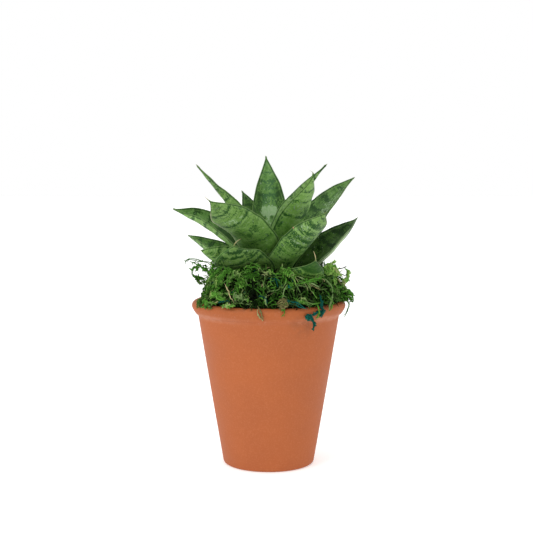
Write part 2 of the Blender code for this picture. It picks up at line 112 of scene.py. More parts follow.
def tree_of(objects):
    """One search tree over several objects' faces."""
    points = []
    faces = []
    for ob in objects:
        start = len(points)
        points += [v.co.copy() for v in ob.data.vertices]
        faces += [[start + i for i in p.vertices] for p in ob.data.polygons]
    return BVHTree.FromPolygons(points, faces)


# Material nodes

class Value:
    """What a node gives, for plain arithmetic between nodes."""

    def __init__(self, shader, socket):
        self.shader = shader
        self.socket = socket

    def math(self, operation, *others):
        return self.shader.make("ShaderNodeMath", (self, *others), operation=operation)

    def __add__(self, other):
        return self.math("ADD", other)

    def __sub__(self, other):
        return self.math("SUBTRACT", other)

    def __mul__(self, other):
        """Times another value, or times a colour given as three numbers."""
        if isinstance(other, tuple):
            return self.shader.blend(1.0, self, other, "MULTIPLY")
        return self.math("MULTIPLY", other)

    def __abs__(self):
        return self.math("ABSOLUTE")

    def most(self, other):
        return self.math("MAXIMUM", other)

    def between(self, low, high, to_low=0.0, to_high=1.0):
        """Eases from to_low to to_high while the value goes from low to high."""
        inputs = {"Value": self, "From Min": low, "From Max": high, "To Min": to_low, "To Max": to_high}
        return self.shader.make("ShaderNodeMapRange", inputs, interpolation_type="SMOOTHSTEP")

    def mix(self, a, b):
        """Colour a where the value is 0 and b where it is 1."""
        return self.shader.blend(self, a, b)


class Shader:
    """A short way to write a material's nodes."""

    def __init__(self, name):
        self.material = bpy.data.materials.new(name)
        self.material.use_nodes = True
        self.tree = self.material.node_tree
        self.surface = self.tree.nodes["Principled BSDF"]

    def make(self, kind, inputs=(), output=0, **settings):
        """A node with its inputs, by place or by name, and one of its outputs."""
        node = self.tree.nodes.new(kind)
        for key, value in settings.items():
            setattr(node, key, value)
        for key, value in inputs.items() if isinstance(inputs, dict) else enumerate(inputs):
            self.put(node.inputs[key], value)
        return Value(self, node.outputs[output])

    def put(self, socket, value):
        if isinstance(value, Value):
            self.tree.links.new(value.socket, socket)
        else:
            socket.default_value = (*value, 1.0) if socket.type == "RGBA" else value

    def set(self, **inputs):
        for key, value in inputs.items():
            self.put(self.surface.inputs[key.replace("_", " ")], value)

    def attribute(self, name, output="Fac"):
        return self.make("ShaderNodeAttribute", output=output, attribute_name=name)

    def three(self, name):
        """The three numbers of a vector attribute."""
        return self.split(self.attribute(name, "Vector"))

    def position(self):
        return self.make("ShaderNodeTexCoord", output="Object")

    def split(self, vector):
        first = self.make("ShaderNodeSeparateXYZ", (vector,))
        return [Value(self, socket) for socket in first.socket.node.outputs]

    def join(self, x, y, z):
        return self.make("ShaderNodeCombineXYZ", (x, y, z))

    def distance(self, a, b):
        return self.make("ShaderNodeVectorMath", (a, b), "Value", operation="DISTANCE")

    def noise(self, vector, scale, detail=2.0, roughness=0.5):
        inputs = {"Vector": vector, "Scale": scale, "Detail": detail, "Roughness": roughness}
        return self.make("ShaderNodeTexNoise", inputs, "Fac")

    def cells(self, vector, scale):
        return self.make("ShaderNodeTexVoronoi", {"Vector": vector, "Scale": scale}, "Distance")

    def blend(self, factor, a, b, kind="MIX"):
        inputs = {"Factor": factor, "A": a, "B": b}
        return self.make("ShaderNodeMix", inputs, "Result", data_type="RGBA", blend_type=kind)

    def bump(self, height, distance, strength):
        inputs = {"Height": height, "Distance": distance, "Strength": strength}
        return self.make("ShaderNodeBump", inputs)


def leaf_material():
    """Banded leaf skin, driven by the place on the leaf in millimetres."""
    s = Shader("snake_plant_leaf")
    across, from_tip, seed = s.three("leaf_place")
    fine, blots, pale = s.three("leaf_pattern")
    shade, centre, zone = s.three("leaf_tone")
    first, second, third = s.three("leaf_arcs")
    fourth = s.attribute("leaf_last_arc")
    bold, fresh, cream = s.three("leaf_lines")
    rim = s.attribute("leaf_rim")

    def streaks(per_across, per_along, detail=2.0, roughness=0.5, far=0.0):
        """Noise stretched along or across the leaf."""
        return s.noise(s.join(across * per_across, from_tip * per_along + far, seed), 1.0, detail, roughness)

    def shift(noise, amount, onto):
        return (noise - 0.5) * amount + onto

    # Arcs round the tip, shaken into steps
    arc = shift(streaks(0.12, 0.06), 3.0, s.attribute("leaf_arc"))
    arc = shift(streaks(0.45, 0.20, far=7.0), 1.6, arc)
    arc = shift(streaks(1.6, 0.60, far=3.0), 0.6, arc)
    dots = streaks(0.85, 0.50, 2.0, 0.6, far=5.0)

    # A few strong arcs at their own distances, thicker and thinner along the way
    off = abs(arc - first)
    for distance in (second, third, fourth):
        off = off.math("MINIMUM", abs(arc - distance))
    width = streaks(0.42, 0.25, far=11.0).between(0.32, 0.62) * bold
    strong = (off - width).between(0.0, 0.14, 0.95, 0.0)
    halo = off.between(0.9, 1.5) * off.between(1.8, 3.0, 0.45, 0.0)

    # Many thin lines near the tip that thin out down the leaf
    ripple = s.noise(s.join(arc * 0.36, across * 0.045, seed), 1.0, 2.0, 0.55)
    spread = from_tip.between(16.0, 46.0, 1.0, 0.30) * fine
    thin = abs(ripple - 0.5).between(0.036, 0.058, 1.0, 0.0) * dots.between(0.42, 0.52, 0.35, 1.0) * spread
    light = ripple.between(0.47, 0.43, 0.0, 0.6) * spread

    # Dots and short dashes, thicker in some bands and beside the arcs
    patch = s.noise(s.join(arc * 0.13, across * 0.10, seed), 1.0, 3.0, 0.6)
    strewn = patch * 0.75 + (dots + off.between(0.8, 2.6, 0.13, 0.0))
    speckle = (strewn - (blots * -0.13 + 1.070)).between(0.0, 0.022)
    cloud = (dots * 0.55 + patch).between(0.850, 0.870) * (blots * 0.70)
    marks = strong.most(thin).most(speckle.most(cloud))

    # Specks of lighter and darker skin, finer than a millimetre
    speck = s.noise(s.join(across, from_tip, seed), 0.72, 3.0, 0.8)

    def specked(skin):
        skin = speck.between(0.52, 0.64, 0.0, 0.50).mix(skin, skin * (0.52, 0.66, 0.46))
        return speck.between(0.47, 0.36, 0.0, 0.45).mix(skin, skin * (1.45, 1.30, 1.45))

    # Outer face: paler and greyer near the tip, fresh green lower down
    mottle = streaks(0.26, 0.17, 4.0, 0.6, far=20.0)
    ground = from_tip.between(15.0, 56.0).mix((0.116, 0.242, 0.038), (0.064, 0.188, 0.014))
    paleness = shift(dots, 0.3, mottle).between(0.30, 0.68, 0.35, 0.85) * pale
    ground = paleness.mix(ground, (0.176, 0.302, 0.092))
    ground = (light.most(halo) * 0.75).mix(ground, (0.232, 0.380, 0.130))
    ground = mottle.between(0.50, 0.32, 0.0, 0.22).mix(ground, (0.052, 0.145, 0.013))
    outer = (marks * 0.96).mix(specked(ground), (0.013, 0.062, 0.008))

    # Inner face: darker, with a paler middle of painted light where the light falls in
    ground = mottle.between(0.34, 0.66).mix((0.040, 0.118, 0.012), (0.080, 0.190, 0.026))
    ground = (paleness * 0.45).mix(ground, (0.19, 0.33, 0.125))
    inner = (marks * 0.92).mix(specked(ground), (0.012, 0.048, 0.007))
    middle = mottle.between(0.35, 0.65).mix((0.080, 0.190, 0.038), (0.145, 0.282, 0.080))
    middle = (marks * 0.80).mix(specked(middle), (0.030, 0.098, 0.034))
    inside = shift(dots, 5.0, abs(across)).between(3.0, 7.5, 1.0, 0.0) * centre
    inner = inside.mix(inner, middle)
    skin = s.attribute("leaf_face").between(0.35, 0.65).mix(outer, inner)
    # Painted shade darkens a whole leaf, or painted light lightens it where shade is below 0
    skin = s.make("ShaderNodeHueSaturation", {"Value": shade * -0.68 + 1.0, "Color": skin})

    # Pale and dark places: some are the leaf's own marks, some dark ones are painted shadow and some pale
    # ones painted reflection
    ragged = shift(dots, 2.0, shift(mottle, 0.5, zone))
    bloom = dots.between(0.35, 0.62).mix((0.235, 0.385, 0.175), (0.290, 0.430, 0.225))
    skin = ragged.between(0.22, 0.62, 0.0, 0.85).mix(skin, bloom)
    skin = ragged.between(1.35, 1.65).mix(skin, (0.36, 0.44, 0.25))
    skin = ragged.between(-0.15, -0.70, 0.0, 0.85).mix(skin, (0.018, 0.066, 0.009))

    # A painted shadow line just inside a thin paler margin, and places with a green or a cream margin
    line = rim.between(0.02, 0.22) * rim.between(0.50, 1.00, 0.85, 0.0)
    skin = line.mix(skin, (0.014, 0.056, 0.010))
    beside = rim.between(0.9, 1.3) * rim.between(1.7, 2.4, 1.0, 0.0)
    skin = (beside * ragged.between(-0.70, -0.15, 0.0, 0.22)).mix(skin, (0.22, 0.36, 0.12))
    skin = rim.between(0.0, 0.08, 0.75, 0.0).mix(skin, (0.105, 0.175, 0.055))
    skin = (fresh * rim.between(1.2, 0.7)).mix(skin, (0.090, 0.250, 0.030))
    skin = (cream * rim.between(0.95, 0.45)).mix(skin, (0.330, 0.330, 0.200))

    # A healed scar and the horny point
    scar_x, scar_s, scar_size = s.three("leaf_scar")
    scar = s.distance(s.join(across, from_tip, 0.0), s.join(scar_x, scar_s, 0.0))
    skin = scar.math("DIVIDE", scar_size).between(0.6, 1.1, 1.0, 0.0).mix(skin, (0.42, 0.24, 0.15))
    horn = from_tip.between(-5.0, -0.8).mix((0.52, 0.42, 0.23), (0.13, 0.17, 0.050))
    skin = from_tip.between(-0.5, 0.3, 1.0, 0.0).mix(skin, horn)

    # Fine lengthwise grain and a waxy skin
    grain = streaks(2.6, 0.16, 3.0, 0.6, far=40.0)
    pores = s.noise(s.join(across, from_tip, seed), 3.2, 2.0, 0.6)
    skin = grain.between(0.40, 0.70, 0.0, 0.22).mix(skin, skin * (0.72, 0.78, 0.66))
    s.set(Base_Color=skin, Roughness=mottle.between(0.3, 0.7, 0.42, 0.54), Specular_IOR_Level=0.12,
          Normal=s.bump(mottle * 0.8 + (grain * 0.6 + pores * 0.35), 0.00022, 0.6))
    return s.material


def terracotta_material():
    """Fired clay with fine grain, soft blotches and lime bloom, a painted highlight along the crease, and
    darker patches on the rim's top and below it, under the moss.
    """
    s = Shader("terracotta")
    place = s.position()
    x, y, z = s.split(place)
    blotch = s.noise(place, 28.0, 3.0, 0.55)
    grain = s.noise(place, 900.0, 3.0, 0.7)
    fine = s.noise(place, 2600.0, 2.0, 0.6)
    clay = blotch.between(0.3, 0.7).mix((0.358, 0.089, 0.0205), (0.388, 0.100, 0.0255))
    clay = grain.between(0.45, 0.72, 0.0, 0.30).mix(clay, (0.51, 0.170, 0.064))
    clay = fine.between(0.58, 0.70, 0.0, 0.35).mix(clay, (0.36, 0.100, 0.035))
    clay = z.between(CREASE_HEIGHT, CREASE_HEIGHT + 3 * MM).mix(clay, clay * (0.93, 0.91, 0.76))

    # Turning marks, faint and level
    rings = s.noise(s.join(x * 6.0, y * 6.0, z * 260.0), 1.0, 2.0)
    clay = rings.between(0.35, 0.75, 0.0, 0.10).mix(clay, (0.40, 0.115, 0.040))

    # Lime bloom in the crease and on the rim, and a painted highlight along the crease, strongest at the
    # left and right
    bloom = s.noise(place, 150.0, 4.0, 0.7)
    near_rim = z.between(POT_HEIGHT - 22 * MM, POT_HEIGHT - 7 * MM)
    clay = (near_rim * bloom.between(0.56, 0.72, 0.0, 0.05)).mix(clay, (0.66, 0.42, 0.31))
    specks = near_rim * s.cells(place, 520.0).between(0.05, 0.13, 0.35, 0.0) * bloom.between(0.50, 0.60)
    clay = specks.mix(clay, (0.80, 0.66, 0.56))
    # Painted highlight along the crease, strongest at the left and right and broken up by the bloom
    crease = abs(z - (CREASE_HEIGHT + 0.5 * MM)).between(1 * MM, 3 * MM, 1.0, 0.0)
    crease = crease * abs(x).between(12 * MM, 40 * MM, 0.05, 0.26) * bloom.between(0.35, 0.60, 0.5, 1.0)
    clay = crease.mix(clay, (0.60, 0.32, 0.22))

    # One soft dark patch below the rim at the front right, and patchy darkening along the top of the rim
    stain = s.distance(place, polar(-63.5, 50.5, 101.5)).between(3 * MM, 14 * MM, 0.55, 0.0)
    stain = stain * s.noise(place, 180.0, 3.0, 0.6).between(0.35, 0.65)
    clay = stain.mix(clay, (0.27, 0.080, 0.026))
    dirt = z.between(POT_HEIGHT - 3.5 * MM, POT_HEIGHT - 0.2 * MM, 0.0, 0.45)
    dirt = dirt * s.noise(place, 260.0, 4.0, 0.65).between(0.45, 0.62)
    clay = dirt.mix(clay, (0.20, 0.066, 0.030))
    s.set(Base_Color=clay, Roughness=blotch.between(0.3, 0.7, 0.62, 0.74), Specular_IOR_Level=0.35,
          Normal=s.bump(rings * 0.5 + (grain * 0.6 + fine * 0.35), 0.00020, 0.55))
    return s.material


def soil_material():
    s = Shader("potting_soil")
    place = s.position()
    earth = s.noise(place, 300.0, 4.0, 0.7).between(0.35, 0.65)
    earth = earth.mix((0.014, 0.009, 0.006), (0.060, 0.038, 0.024))
    earth = s.noise(place, 900.0).between(0.66, 0.72).mix(earth, (0.22, 0.20, 0.17))
    s.set(Base_Color=earth, Roughness=0.95, Specular_IOR_Level=0.2,
          Normal=s.bump(s.cells(place, 420.0), 0.0012, 0.9))
    return s.material


def stem_material():
    s = Shader("rhizome_skin")
    scars = s.noise(s.position(), 240.0, 4.0, 0.6)
    skin = scars.between(0.35, 0.7).mix((0.55, 0.42, 0.20), (0.30, 0.17, 0.06))
    s.set(Base_Color=skin, Roughness=0.6, Normal=s.bump(scars, 0.0008, 0.6))
    return s.material


def moss_material(name, stops, faded=0.0):
    """Moss whose colour follows each strand's tone, with some of it faded to sage."""
    s = Shader(name)
    place = s.position()
    fleck = s.noise(place, 1400.0, 2.0, 0.6)
    moss = s.make("ShaderNodeValToRGB", ((fleck - 0.5) * 0.35 + s.attribute("moss_tone"),))
    elements = moss.socket.node.color_ramp.elements
    while len(elements) < len(stops):
        elements.new(0.5)
    for element, (at, colour) in zip(elements, stops):
        element.position = at
        element.color = (*colour, 1.0)
    sage = s.noise(place, 130.0, 3.0, 0.6).between(0.50, 0.62, 0.0, faded)
    s.set(Base_Color=sage.mix(moss, moss * (1.75, 0.98, 2.4)), Roughness=0.75,
          Specular_IOR_Level=0.05, Normal=s.bump(fleck, 0.0003, 0.5))
    return s.material


# Leaves: the same named sizes as the solids, in millimetres and degrees

CROWN_TOP = 111 * MM
SHEATH_HALF = 7.6 * MM
NEST_STEP = 2.4 * MM
FIRST_RADIUS = 3.2 * MM
LEAF_THICK = 2.2 * MM
LEAF_EDGE = 0.7 * MM
STATIONS = 72
COLUMNS = 27
SPINE_STEPS = 6
SPINE_SWAY = {16: -1.0, 4: 0.3, 15: 0.15}
NO_ARC = -99


def leaf(azimuth, base, reach, height, lift, lean, swing, width, taper,
         channel, hood, roll, blunt, cup, spine=(2, 0)):
    """The named sizes of one leaf.

    azimuth and base are the directions of the tip and of the sheath round the axis.
    reach and height place the tip. The leaf rises upright for about lift and arrives
    at its tip at lean degrees, turned by swing. width is its greatest width, reached
    taper from the tip. channel is the half angle of its trough, hood times that at
    the tip. roll twists the blade, blunt shapes its tip, cup sinks the keel. spine
    is the length and curl of the horny point.
    """
    return locals()


LEAVES = [
    leaf(92, 92, 54.5, 212, 30, 50, 6, 26.5, 54, 45, 0.8, 0, 1.15, 0.15, (1.2, 0)),
    leaf(-5, -8, 39, 206, 20, 43, -16, 32, 68, 62, 1.5, 60, 1.5, 0, (1.5, 0)),
    leaf(190, 200, 49, 205.5, 40, 50, 2, 27.5, 47, 50, 0.4, -6, 1.25, 0, (1.5, 5)),
    leaf(-51, -54, 46, 200.5, 41, 65, -18, 29.5, 31, 59, 0.35, -13, 1.4, 0, (3, 60)),
    leaf(115, 126, 45, 187, 22, 44, 10, 26.5, 47, 28, 0.8, 2, 1, 0.5, (1.2, 0)),
    leaf(24, 28, 66, 197, 28, 34, -10, 28.5, 50, 30, 0.9, -22, 1, 0.55, (1.2, 0)),
    leaf(-124, -106, 67.5, 183.5, 45, 40, -35, 33, 22, 36, 0.2, -12, 1.2, 0, (4, 0)),
    leaf(62, 66, 56, 177.5, 22, 35, 0, 27, 42, 38, 0.9, 0, 1, 0.6, (3, 10)),
    leaf(-54, -66, 61.5, 175.5, 39, 38, 10, 30.5, 22, 68, 0.25, 0, 1, 0.95, (1.2, 0)),
    leaf(176, 168, 66, 176, 36, 26, 20, 28.5, 29, 52, 1.6, 18, 1.25, 0, (0.5, 0)),
    leaf(26, 34, 70, 168, 12, 27, 33, 33, 37, 54, 1.15, -10, 1.2, 0.15, (2.4, 0)),
    leaf(98, 97, 49, 165.5, 22, 36, 0, 27, 42, 38, 0.9, -4, 1, 0.6, (3, 10)),
    leaf(-140, -144, 57.5, 150.5, 24, 9, -4, 28.5, 33, 40, 0.85, -34, 0.8, 0.6, (1.2, 0)),
    leaf(153, 152, 64, 156, 28, 19, -3, 29, 32, 60, 1.1, 5, 0.95, 0.55, (1.2, 0)),
    leaf(-59, -46, 58.5, 144.8, 27, 50, -20, 28.5, 26, 36, 0.75, 17, 1.0, 0.6, (6.5, 60)),
    leaf(-114, -108, 55, 154.5, 40, 49, 29, 33, 16, 26, 0.55, -25, 1, 1, (7.5, 75)),
    leaf(45, 48, 60, 151.5, 5, 34, 3, 27, 42, 37, 0.9, -4, 1, 0.6, (3, 10)),
    leaf(129, 128, 46, 149.5, 18, 30, 0, 27, 42, 36, 0.9, 24, 1, 0.7, (3, 10)),
    leaf(76, 82, 53, 144.5, 5, 35, 4, 27, 42, 34, 0.9, -14, 1, 0.65, (3, 10)),
]


def look(arcs=(), fine=0.45, blots=0.6, pale=0.45, shade=0.0, centre=0.3, zones=(),
         skew=0, drift=0, round=0.72, scar=(0, -99, 1), bold=0.62,
         fresh=(0, 0, 1, 0), cream=(0, 0, 1, 0)):
    """How the skin of one leaf is marked.

    arcs are the distances from the tip of its strong bands, in millimetres. fine,
    blots and pale are how much it has of thin lines, dark blots and grey bloom. shade
    darkens it all as painted shade, or lightens it below 0 as painted light. centre
    lightens the middle of its inner face with painted light. zones are pale (+) or
    dark (-) places: across, from the tip, their two half sizes, and how strong; some
    are the leaf's own marks, some dark ones are painted shadow and some pale ones
    painted reflection. skew moves the middle of the arcs sideways and drift moves
    it on further down the leaf; round is how fast they bend. scar is the place and
    size of a healed nick. bold is half the width of the strong bands. fresh and cream
    are bright green and pale margins: which side, between which distances from the
    tip, and how strong.
    """
    return locals()


LOOKS = {
    # Leaf 1: the paler middle of its inner face is painted light, and the pale place 48 mm from the tip a
    # painted reflection
    1: look((15, 23, 34.5), 0.35, 0.8, 0.40, 0.0, 1.0, (
        (-0.6, 48.3, 6.4, 4.2, 1.0), (1.5, 55, 5, 4, 0.42), (-8.5, 31, 3.5, 9, -0.35),
        (9, 35, 3.5, 12, -0.35), (-10, 47, 4, 6, -0.35), (-3, 53.5, 1.2, 1.0, -1.3),
        (1.8, 53.2, 1.4, 1.1, -1.3), (5.4, 54, 1.3, 1.0, -1.3), (-6, 27, 0.5, 4, 0.5))),
    # Leaf 2: its pale bloom and pale place are a painted reflection
    2: look((12, 22, 31), 0.5, 0.6, 1.0, -0.05, 0.3, ((0, 45, 8, 14, 0.4),)),
    3: look((14, 21, 30), 0.5, 0.45, 0.7, -0.1, 0.5, ((3, 26, 4, 6, 0.35),)),
    # Leaf 4: the dark place 30 mm from the tip is painted shade, and its shade below 0 painted light
    4: look((13, 21, 33), 0.30, 0.70, 0.55, -0.40, 0.3, (
        (-5, 30, 3.5, 7, -0.35), (-8, 18, 2, 12, 0.3), (5, 24, 4, 4, 0.25))),
    5: look((6, 13, 20), 0.4, 0.9, 0.3, 0.25, 0.2),
    6: look((12, 24.5, 34), 0.4, 1.15, 0.8, 0.05, 0.2, (
        (6, 22, 5, 20, 0.30), (-8, 27, 2.5, 1.6, -0.35), (-7, 36, 3.5, 2.2, -0.45), (1, 38, 5, 2, -0.2))),
    7: look((13.7, 26.8), 0.60, 0.55, 0.60, 0.16, 0.4, (
        (5.0, 36.5, 3.5, 3.2, -0.50), (-1.8, 39.5, 3.0, 2.0, -0.45), (-8.5, 34.5, 1.8, 4.0, -0.40),
        (-9.5, 41, 2.4, 1.2, -0.35), (1.0, 46.3, 3.5, 1.2, -0.30),
        (1, 18.6, 8, 1.1, -0.22), (0, 22, 9, 3, 0.30)),
        drift=0.3, round=0.92, bold=1.0, cream=(1, 7, 60, 0.8)),
    # Leaf 9: the dark place 42 mm from the tip is a painted shadow
    9: look((13.6, 19.2, 24.9, 30.2), 1.0, 0.75, 0.75, -0.04, 0.4, (
        (-9, 42, 4, 12, -0.40), (8, 14, 3, 2.5, 0.35), (3, 21.5, 6, 2.0, 0.30), (4, 26.8, 6, 1.1, 0.4)),
        skew=-8, round=0.7, scar=(14.4, 17.5, 0.5), cream=(-1, 2, 34, 0.6)),
    10: look((15, 26, 36), 0.3, 0.5, 1.0, -0.45, 0.2, (
        (3.5, 41, 4.5, 9, -1.0), (8, 60, 7, 9, 0.4))),
    # Leaf 11: its shade is painted shade over its inner face
    11: look((10, 20, 31), 0.8, 1.0, 0.5, 0.46, 0.0, ((13.5, 32, 2.9, 24, 1.7),)),
    13: look((6, 11, 16, 24), 0.7, 0.0, 1.0, -0.70, 0.2, bold=0.5),
    14: look((9, 18, 27), 0.4, 0.9, 0.5, -0.50, 0.3),
    15: look((4.6, 7.2, 10, 15), 0.0, 0.4, 0.0, -0.05, 0.3, ((0, 2, 11, 9.5, -0.95),), bold=0.60),
    # Leaf 16: its dark places are painted shadow over its lower part, and its shade painted shade
    16: look((5.5, 10, 17, 24), 0.2, 0.8, 0.5, 0.40, 0.3, (
        (5, 31, 10, 6, -0.35), (-3, 18, 4, 2, -0.3)), bold=1.1, fresh=(1, 1, 12, 0.25)),
}


def nest_radii():
    """How far from the axis each sheath stands, so that it clears those inside."""
    placed = []
    for spec in LEAVES:
        radius = FIRST_RADIUS
        clear = False
        while not clear:
            clear = True
            reach = min(SHEATH_HALF, radius) / radius
            for other, azimuth in placed:
                apart = abs((spec["base"] - azimuth + 180) % 360 - 180)
                span = reach + min(SHEATH_HALF, other) / other
                if apart < math.degrees(span) + 2 and radius - other < NEST_STEP:
                    clear = False
            if not clear:
                radius += 0.05 * MM
        placed.append((radius, spec["base"]))
    return [radius for radius, azimuth in placed]


def leaf_path(spec, base_radius, count):
    """Points and directions along a leaf, from the crown to its tip."""
    start = outward(spec["base"]) * base_radius + UP * (CROWN_TOP + 0.5 * MM)
    end = outward(spec["azimuth"]) * spec["reach"] * MM + UP * spec["height"] * MM
    span = np.linalg.norm(end - start)
    lean = math.radians(spec["lean"])
    arrive = outward(spec["azimuth"] + spec["swing"]) * math.cos(lean) + UP * math.sin(lean)
    first = start + UP * spec["lift"] * MM
    second = end - arrive * 0.42 * span
    t = 1 - (1 - np.linspace(0, 1, count)[:, None]) ** 1.2
    path = ((1 - t) ** 3 * start + 3 * t * (1 - t) ** 2 * first
            + 3 * t ** 2 * (1 - t) * second + t ** 3 * end)
    along = unit((1 - t) ** 2 * (first - start) + 2 * t * (1 - t) * (second - first)
                 + t ** 2 * (end - second))
    return path, along


def make_leaf(name, number, spec, base_radius, material):
    """A thin blade with rounded margins and a horny point, and where each point is."""
    draw = np.random.default_rng(100 + number)
    path, along = leaf_path(spec, base_radius, STATIONS)
    steps = np.linalg.norm(np.diff(path, axis=0), axis=1)
    travelled = np.concatenate([[0], np.cumsum(steps)])[:, None]
    total = travelled[-1, 0]
    from_tip = total - travelled
    share = travelled / total
    open_out = smooth(share / 0.55)
    turn = np.radians(spec["base"] + (spec["azimuth"] - spec["base"]) * smooth(share))
    level = np.concatenate([np.sin(turn), -np.cos(turn), 0 * turn], axis=1)
    side = unit(level - (level * along).sum(1, keepdims=True) * along)
    inward = np.cross(side, along)
    roll = np.radians(spec["roll"]) * smooth(share)
    cos, sin = np.cos(roll), np.sin(roll)
    side, inward = side * cos + inward * sin, inward * cos - side * sin

    # Half widths along the leaf, and the trough they are bent to
    outline = np.sin(np.pi / 2 * np.clip(from_tip / (spec["taper"] * MM), 0, 1)) ** spec["blunt"]
    sheath = min(SHEATH_HALF, base_radius)
    half = (sheath + (spec["width"] / 2 * MM - sheath) * open_out) * outline
    wave = draw.uniform(0, TAU, 4)
    half = half * (1 + 0.010 * np.sin(from_tip / MM / 3.1 + wave[0]) * open_out)
    half = np.maximum(half, 0.45 * MM)
    clasp = sheath / base_radius
    trough = clasp + (math.radians(spec["channel"]) - clasp) * open_out
    trough = trough * (1 + (spec["hood"] - 1) * smooth((share - 0.5) / 0.5))
    trough = np.maximum(trough, 0.02)
    bend = half / trough
    across = np.linspace(-1, 1, COLUMNS)
    angle = across * trough
    x = bend * np.sin(angle)
    y = bend * (1 - np.cos(angle)) - spec["cup"] * open_out * bend * (1 - np.cos(trough))
    side_mm = across * half / MM
    tip_mm = np.broadcast_to(from_tip / MM, side_mm.shape)
    calm = smooth(tip_mm / 12) * open_out
    ripple = (0.16 * np.sin(tip_mm / 4.3 + side_mm * 0.12 + wave[1])
              + 0.12 * np.sin(tip_mm / 2.2 - side_mm * 0.25 + wave[2])
              + 0.22 * across ** 4 * np.sin(tip_mm / 3.4 + wave[3] + (across > 0) * 2)) * calm * MM

    # Rings of points: over the blade, round one margin, back under it, round the other
    sideways, upright = side[:, None], inward[:, None]
    cos, sin = np.cos(angle)[..., None], np.sin(angle)[..., None]
    middle = path[:, None] + x[..., None] * sideways + (y + ripple)[..., None] * upright
    thick = LEAF_THICK * (1 - 0.45 * smooth(share)) * (1 - 0.55 * across ** 2)
    out = (cos * upright - sin * sideways) * np.maximum(thick, LEAF_EDGE)[..., None] / 2
    bulge = (cos * sideways + sin * upright) * (0.42 * LEAF_EDGE)

    def ringed(over, right, under, left):
        return np.concatenate([over, right, under[:, ::-1], left], axis=1)

    rings = ringed(middle + out, middle[:, -1:] + bulge[:, -1:], middle - out, middle[:, :1] - bulge[:, :1])
    around = rings.shape[1]
    zero = np.zeros((STATIONS, 1))
    rim_mm = (1 - np.abs(across)) * half / MM
    x_mm = ringed(side_mm, side_mm[:, -1:], side_mm, side_mm[:, :1])
    face = ringed(np.ones_like(side_mm), zero + 0.5, 0 * side_mm, zero + 0.5)
    rim = ringed(rim_mm, zero, rim_mm, zero)
    s_mm = np.broadcast_to(from_tip / MM, x_mm.shape)

    # The horny point bends on from the blade's end
    length, curl = spec["spine"]
    curl = math.radians(curl)
    end = path[-1]
    aim = along[-1] * math.cos(curl) + inward[-1] * math.sin(curl)
    aim = unit(aim + side[-1] * SPINE_SWAY.get(number, 0.0))
    point = end + aim * length * MM
    bow = end + along[-1] * length * 0.45 * MM
    t = (np.arange(1, SPINE_STEPS + 1) / SPINE_STEPS)[:, None]
    centre = (1 - t) ** 2 * end + 2 * t * (1 - t) * bow + t * t * point
    scale = (1 - t) ** 0.8 * 0.55 + 0.12
    rings = np.concatenate([rings, centre[:, None] + (rings[-1:] - end) * scale[:, None]])
    s_mm = np.concatenate([s_mm, np.repeat(-t * length, around, axis=1)])
    x_mm = np.concatenate([x_mm, np.zeros((SPINE_STEPS, around))])
    face, rim = (np.concatenate([v, np.repeat(v[-1:], SPINE_STEPS, axis=0)]) for v in (face, rim))

    count = len(rings)
    points = np.concatenate([rings.reshape(-1, 3), point[None], path[:1]])
    first = np.arange(around)
    last = (count - 1) * around + first
    top = np.stack([last, np.roll(last, -1), np.full(around, len(points) - 2)], axis=1)
    foot = np.stack([np.roll(first, -1), first, np.full(around, len(points) - 1)], axis=1)

    def padded(values, at_tip, at_foot):
        return np.concatenate([values.ravel(), [at_tip, at_foot]])

    def same(*values):
        """The same numbers on every point."""
        return np.tile(values, (len(points), 1))

    def stretch(side, start, end, amount):
        """A margin's strength on one side, between two distances from the tip."""
        return amount * (x_mm * side > 0) * smooth((s_mm - start) / 2) * smooth((end - s_mm) / 4)

    marks = LOOKS.get(number) or look([at + more * draw.random() for at, more in ((9, 2), (18, 3), (28, 4))])
    x_mm = padded(x_mm, 0, 0)
    s_mm = padded(s_mm, -length, total / MM)
    zone = np.zeros(len(points))
    for x0, s0, wide, long, amount in marks["zones"]:
        far = (np.abs((x_mm - x0) / wide) ** 3 + np.abs((s_mm - s0) / long) ** 3) ** (1 / 3)
        zone += amount * smooth((1.35 - far) / 0.7)
    arcs = [*marks["arcs"], *[NO_ARC] * 4]
    from_middle = x_mm - marks["skew"] - marks["drift"] * s_mm
    ob = mesh_object(name, points, [ring_faces(count, around), top, foot], material, {
        "leaf_place": np.column_stack([x_mm, s_mm, same(17.3 * number)]),
        "leaf_face": padded(face, 0.5, 0.5),
        "leaf_rim": padded(rim, 2, 2),
        "leaf_pattern": same(marks["fine"], marks["blots"], marks["pale"]),
        "leaf_tone": np.column_stack([same(marks["shade"], marks["centre"]), zone]),
        "leaf_arcs": same(*arcs[:3]),
        "leaf_last_arc": same(arcs[3]).ravel(),
        "leaf_arc": np.hypot(marks["round"] * from_middle, np.maximum(s_mm, 0)),
        "leaf_scar": same(*marks["scar"]),
        "leaf_lines": np.column_stack([
            same(marks["bold"]), stretch(*marks["fresh"]), stretch(*marks["cream"])]),
    })
    face_out(ob)
    return ob


def face_out(ob):
    """Turns a closed mesh's faces outward if its volume comes out negative."""
    mesh = ob.data
    co = np.zeros(len(mesh.vertices) * 3)
    mesh.vertices.foreach_get("co", co)
    co = co.reshape(-1, 3)
    mesh.calc_loop_triangles()
    tri = np.zeros(len(mesh.loop_triangles) * 3, np.int32)
    mesh.loop_triangles.foreach_get("vertices", tri)
    a, b, c = (co[i] for i in tri.reshape(-1, 3).T)
    if np.einsum("ij,ij->", a, np.cross(b, c)) < 0:
        mesh.flip_normals()


# Pot and soil

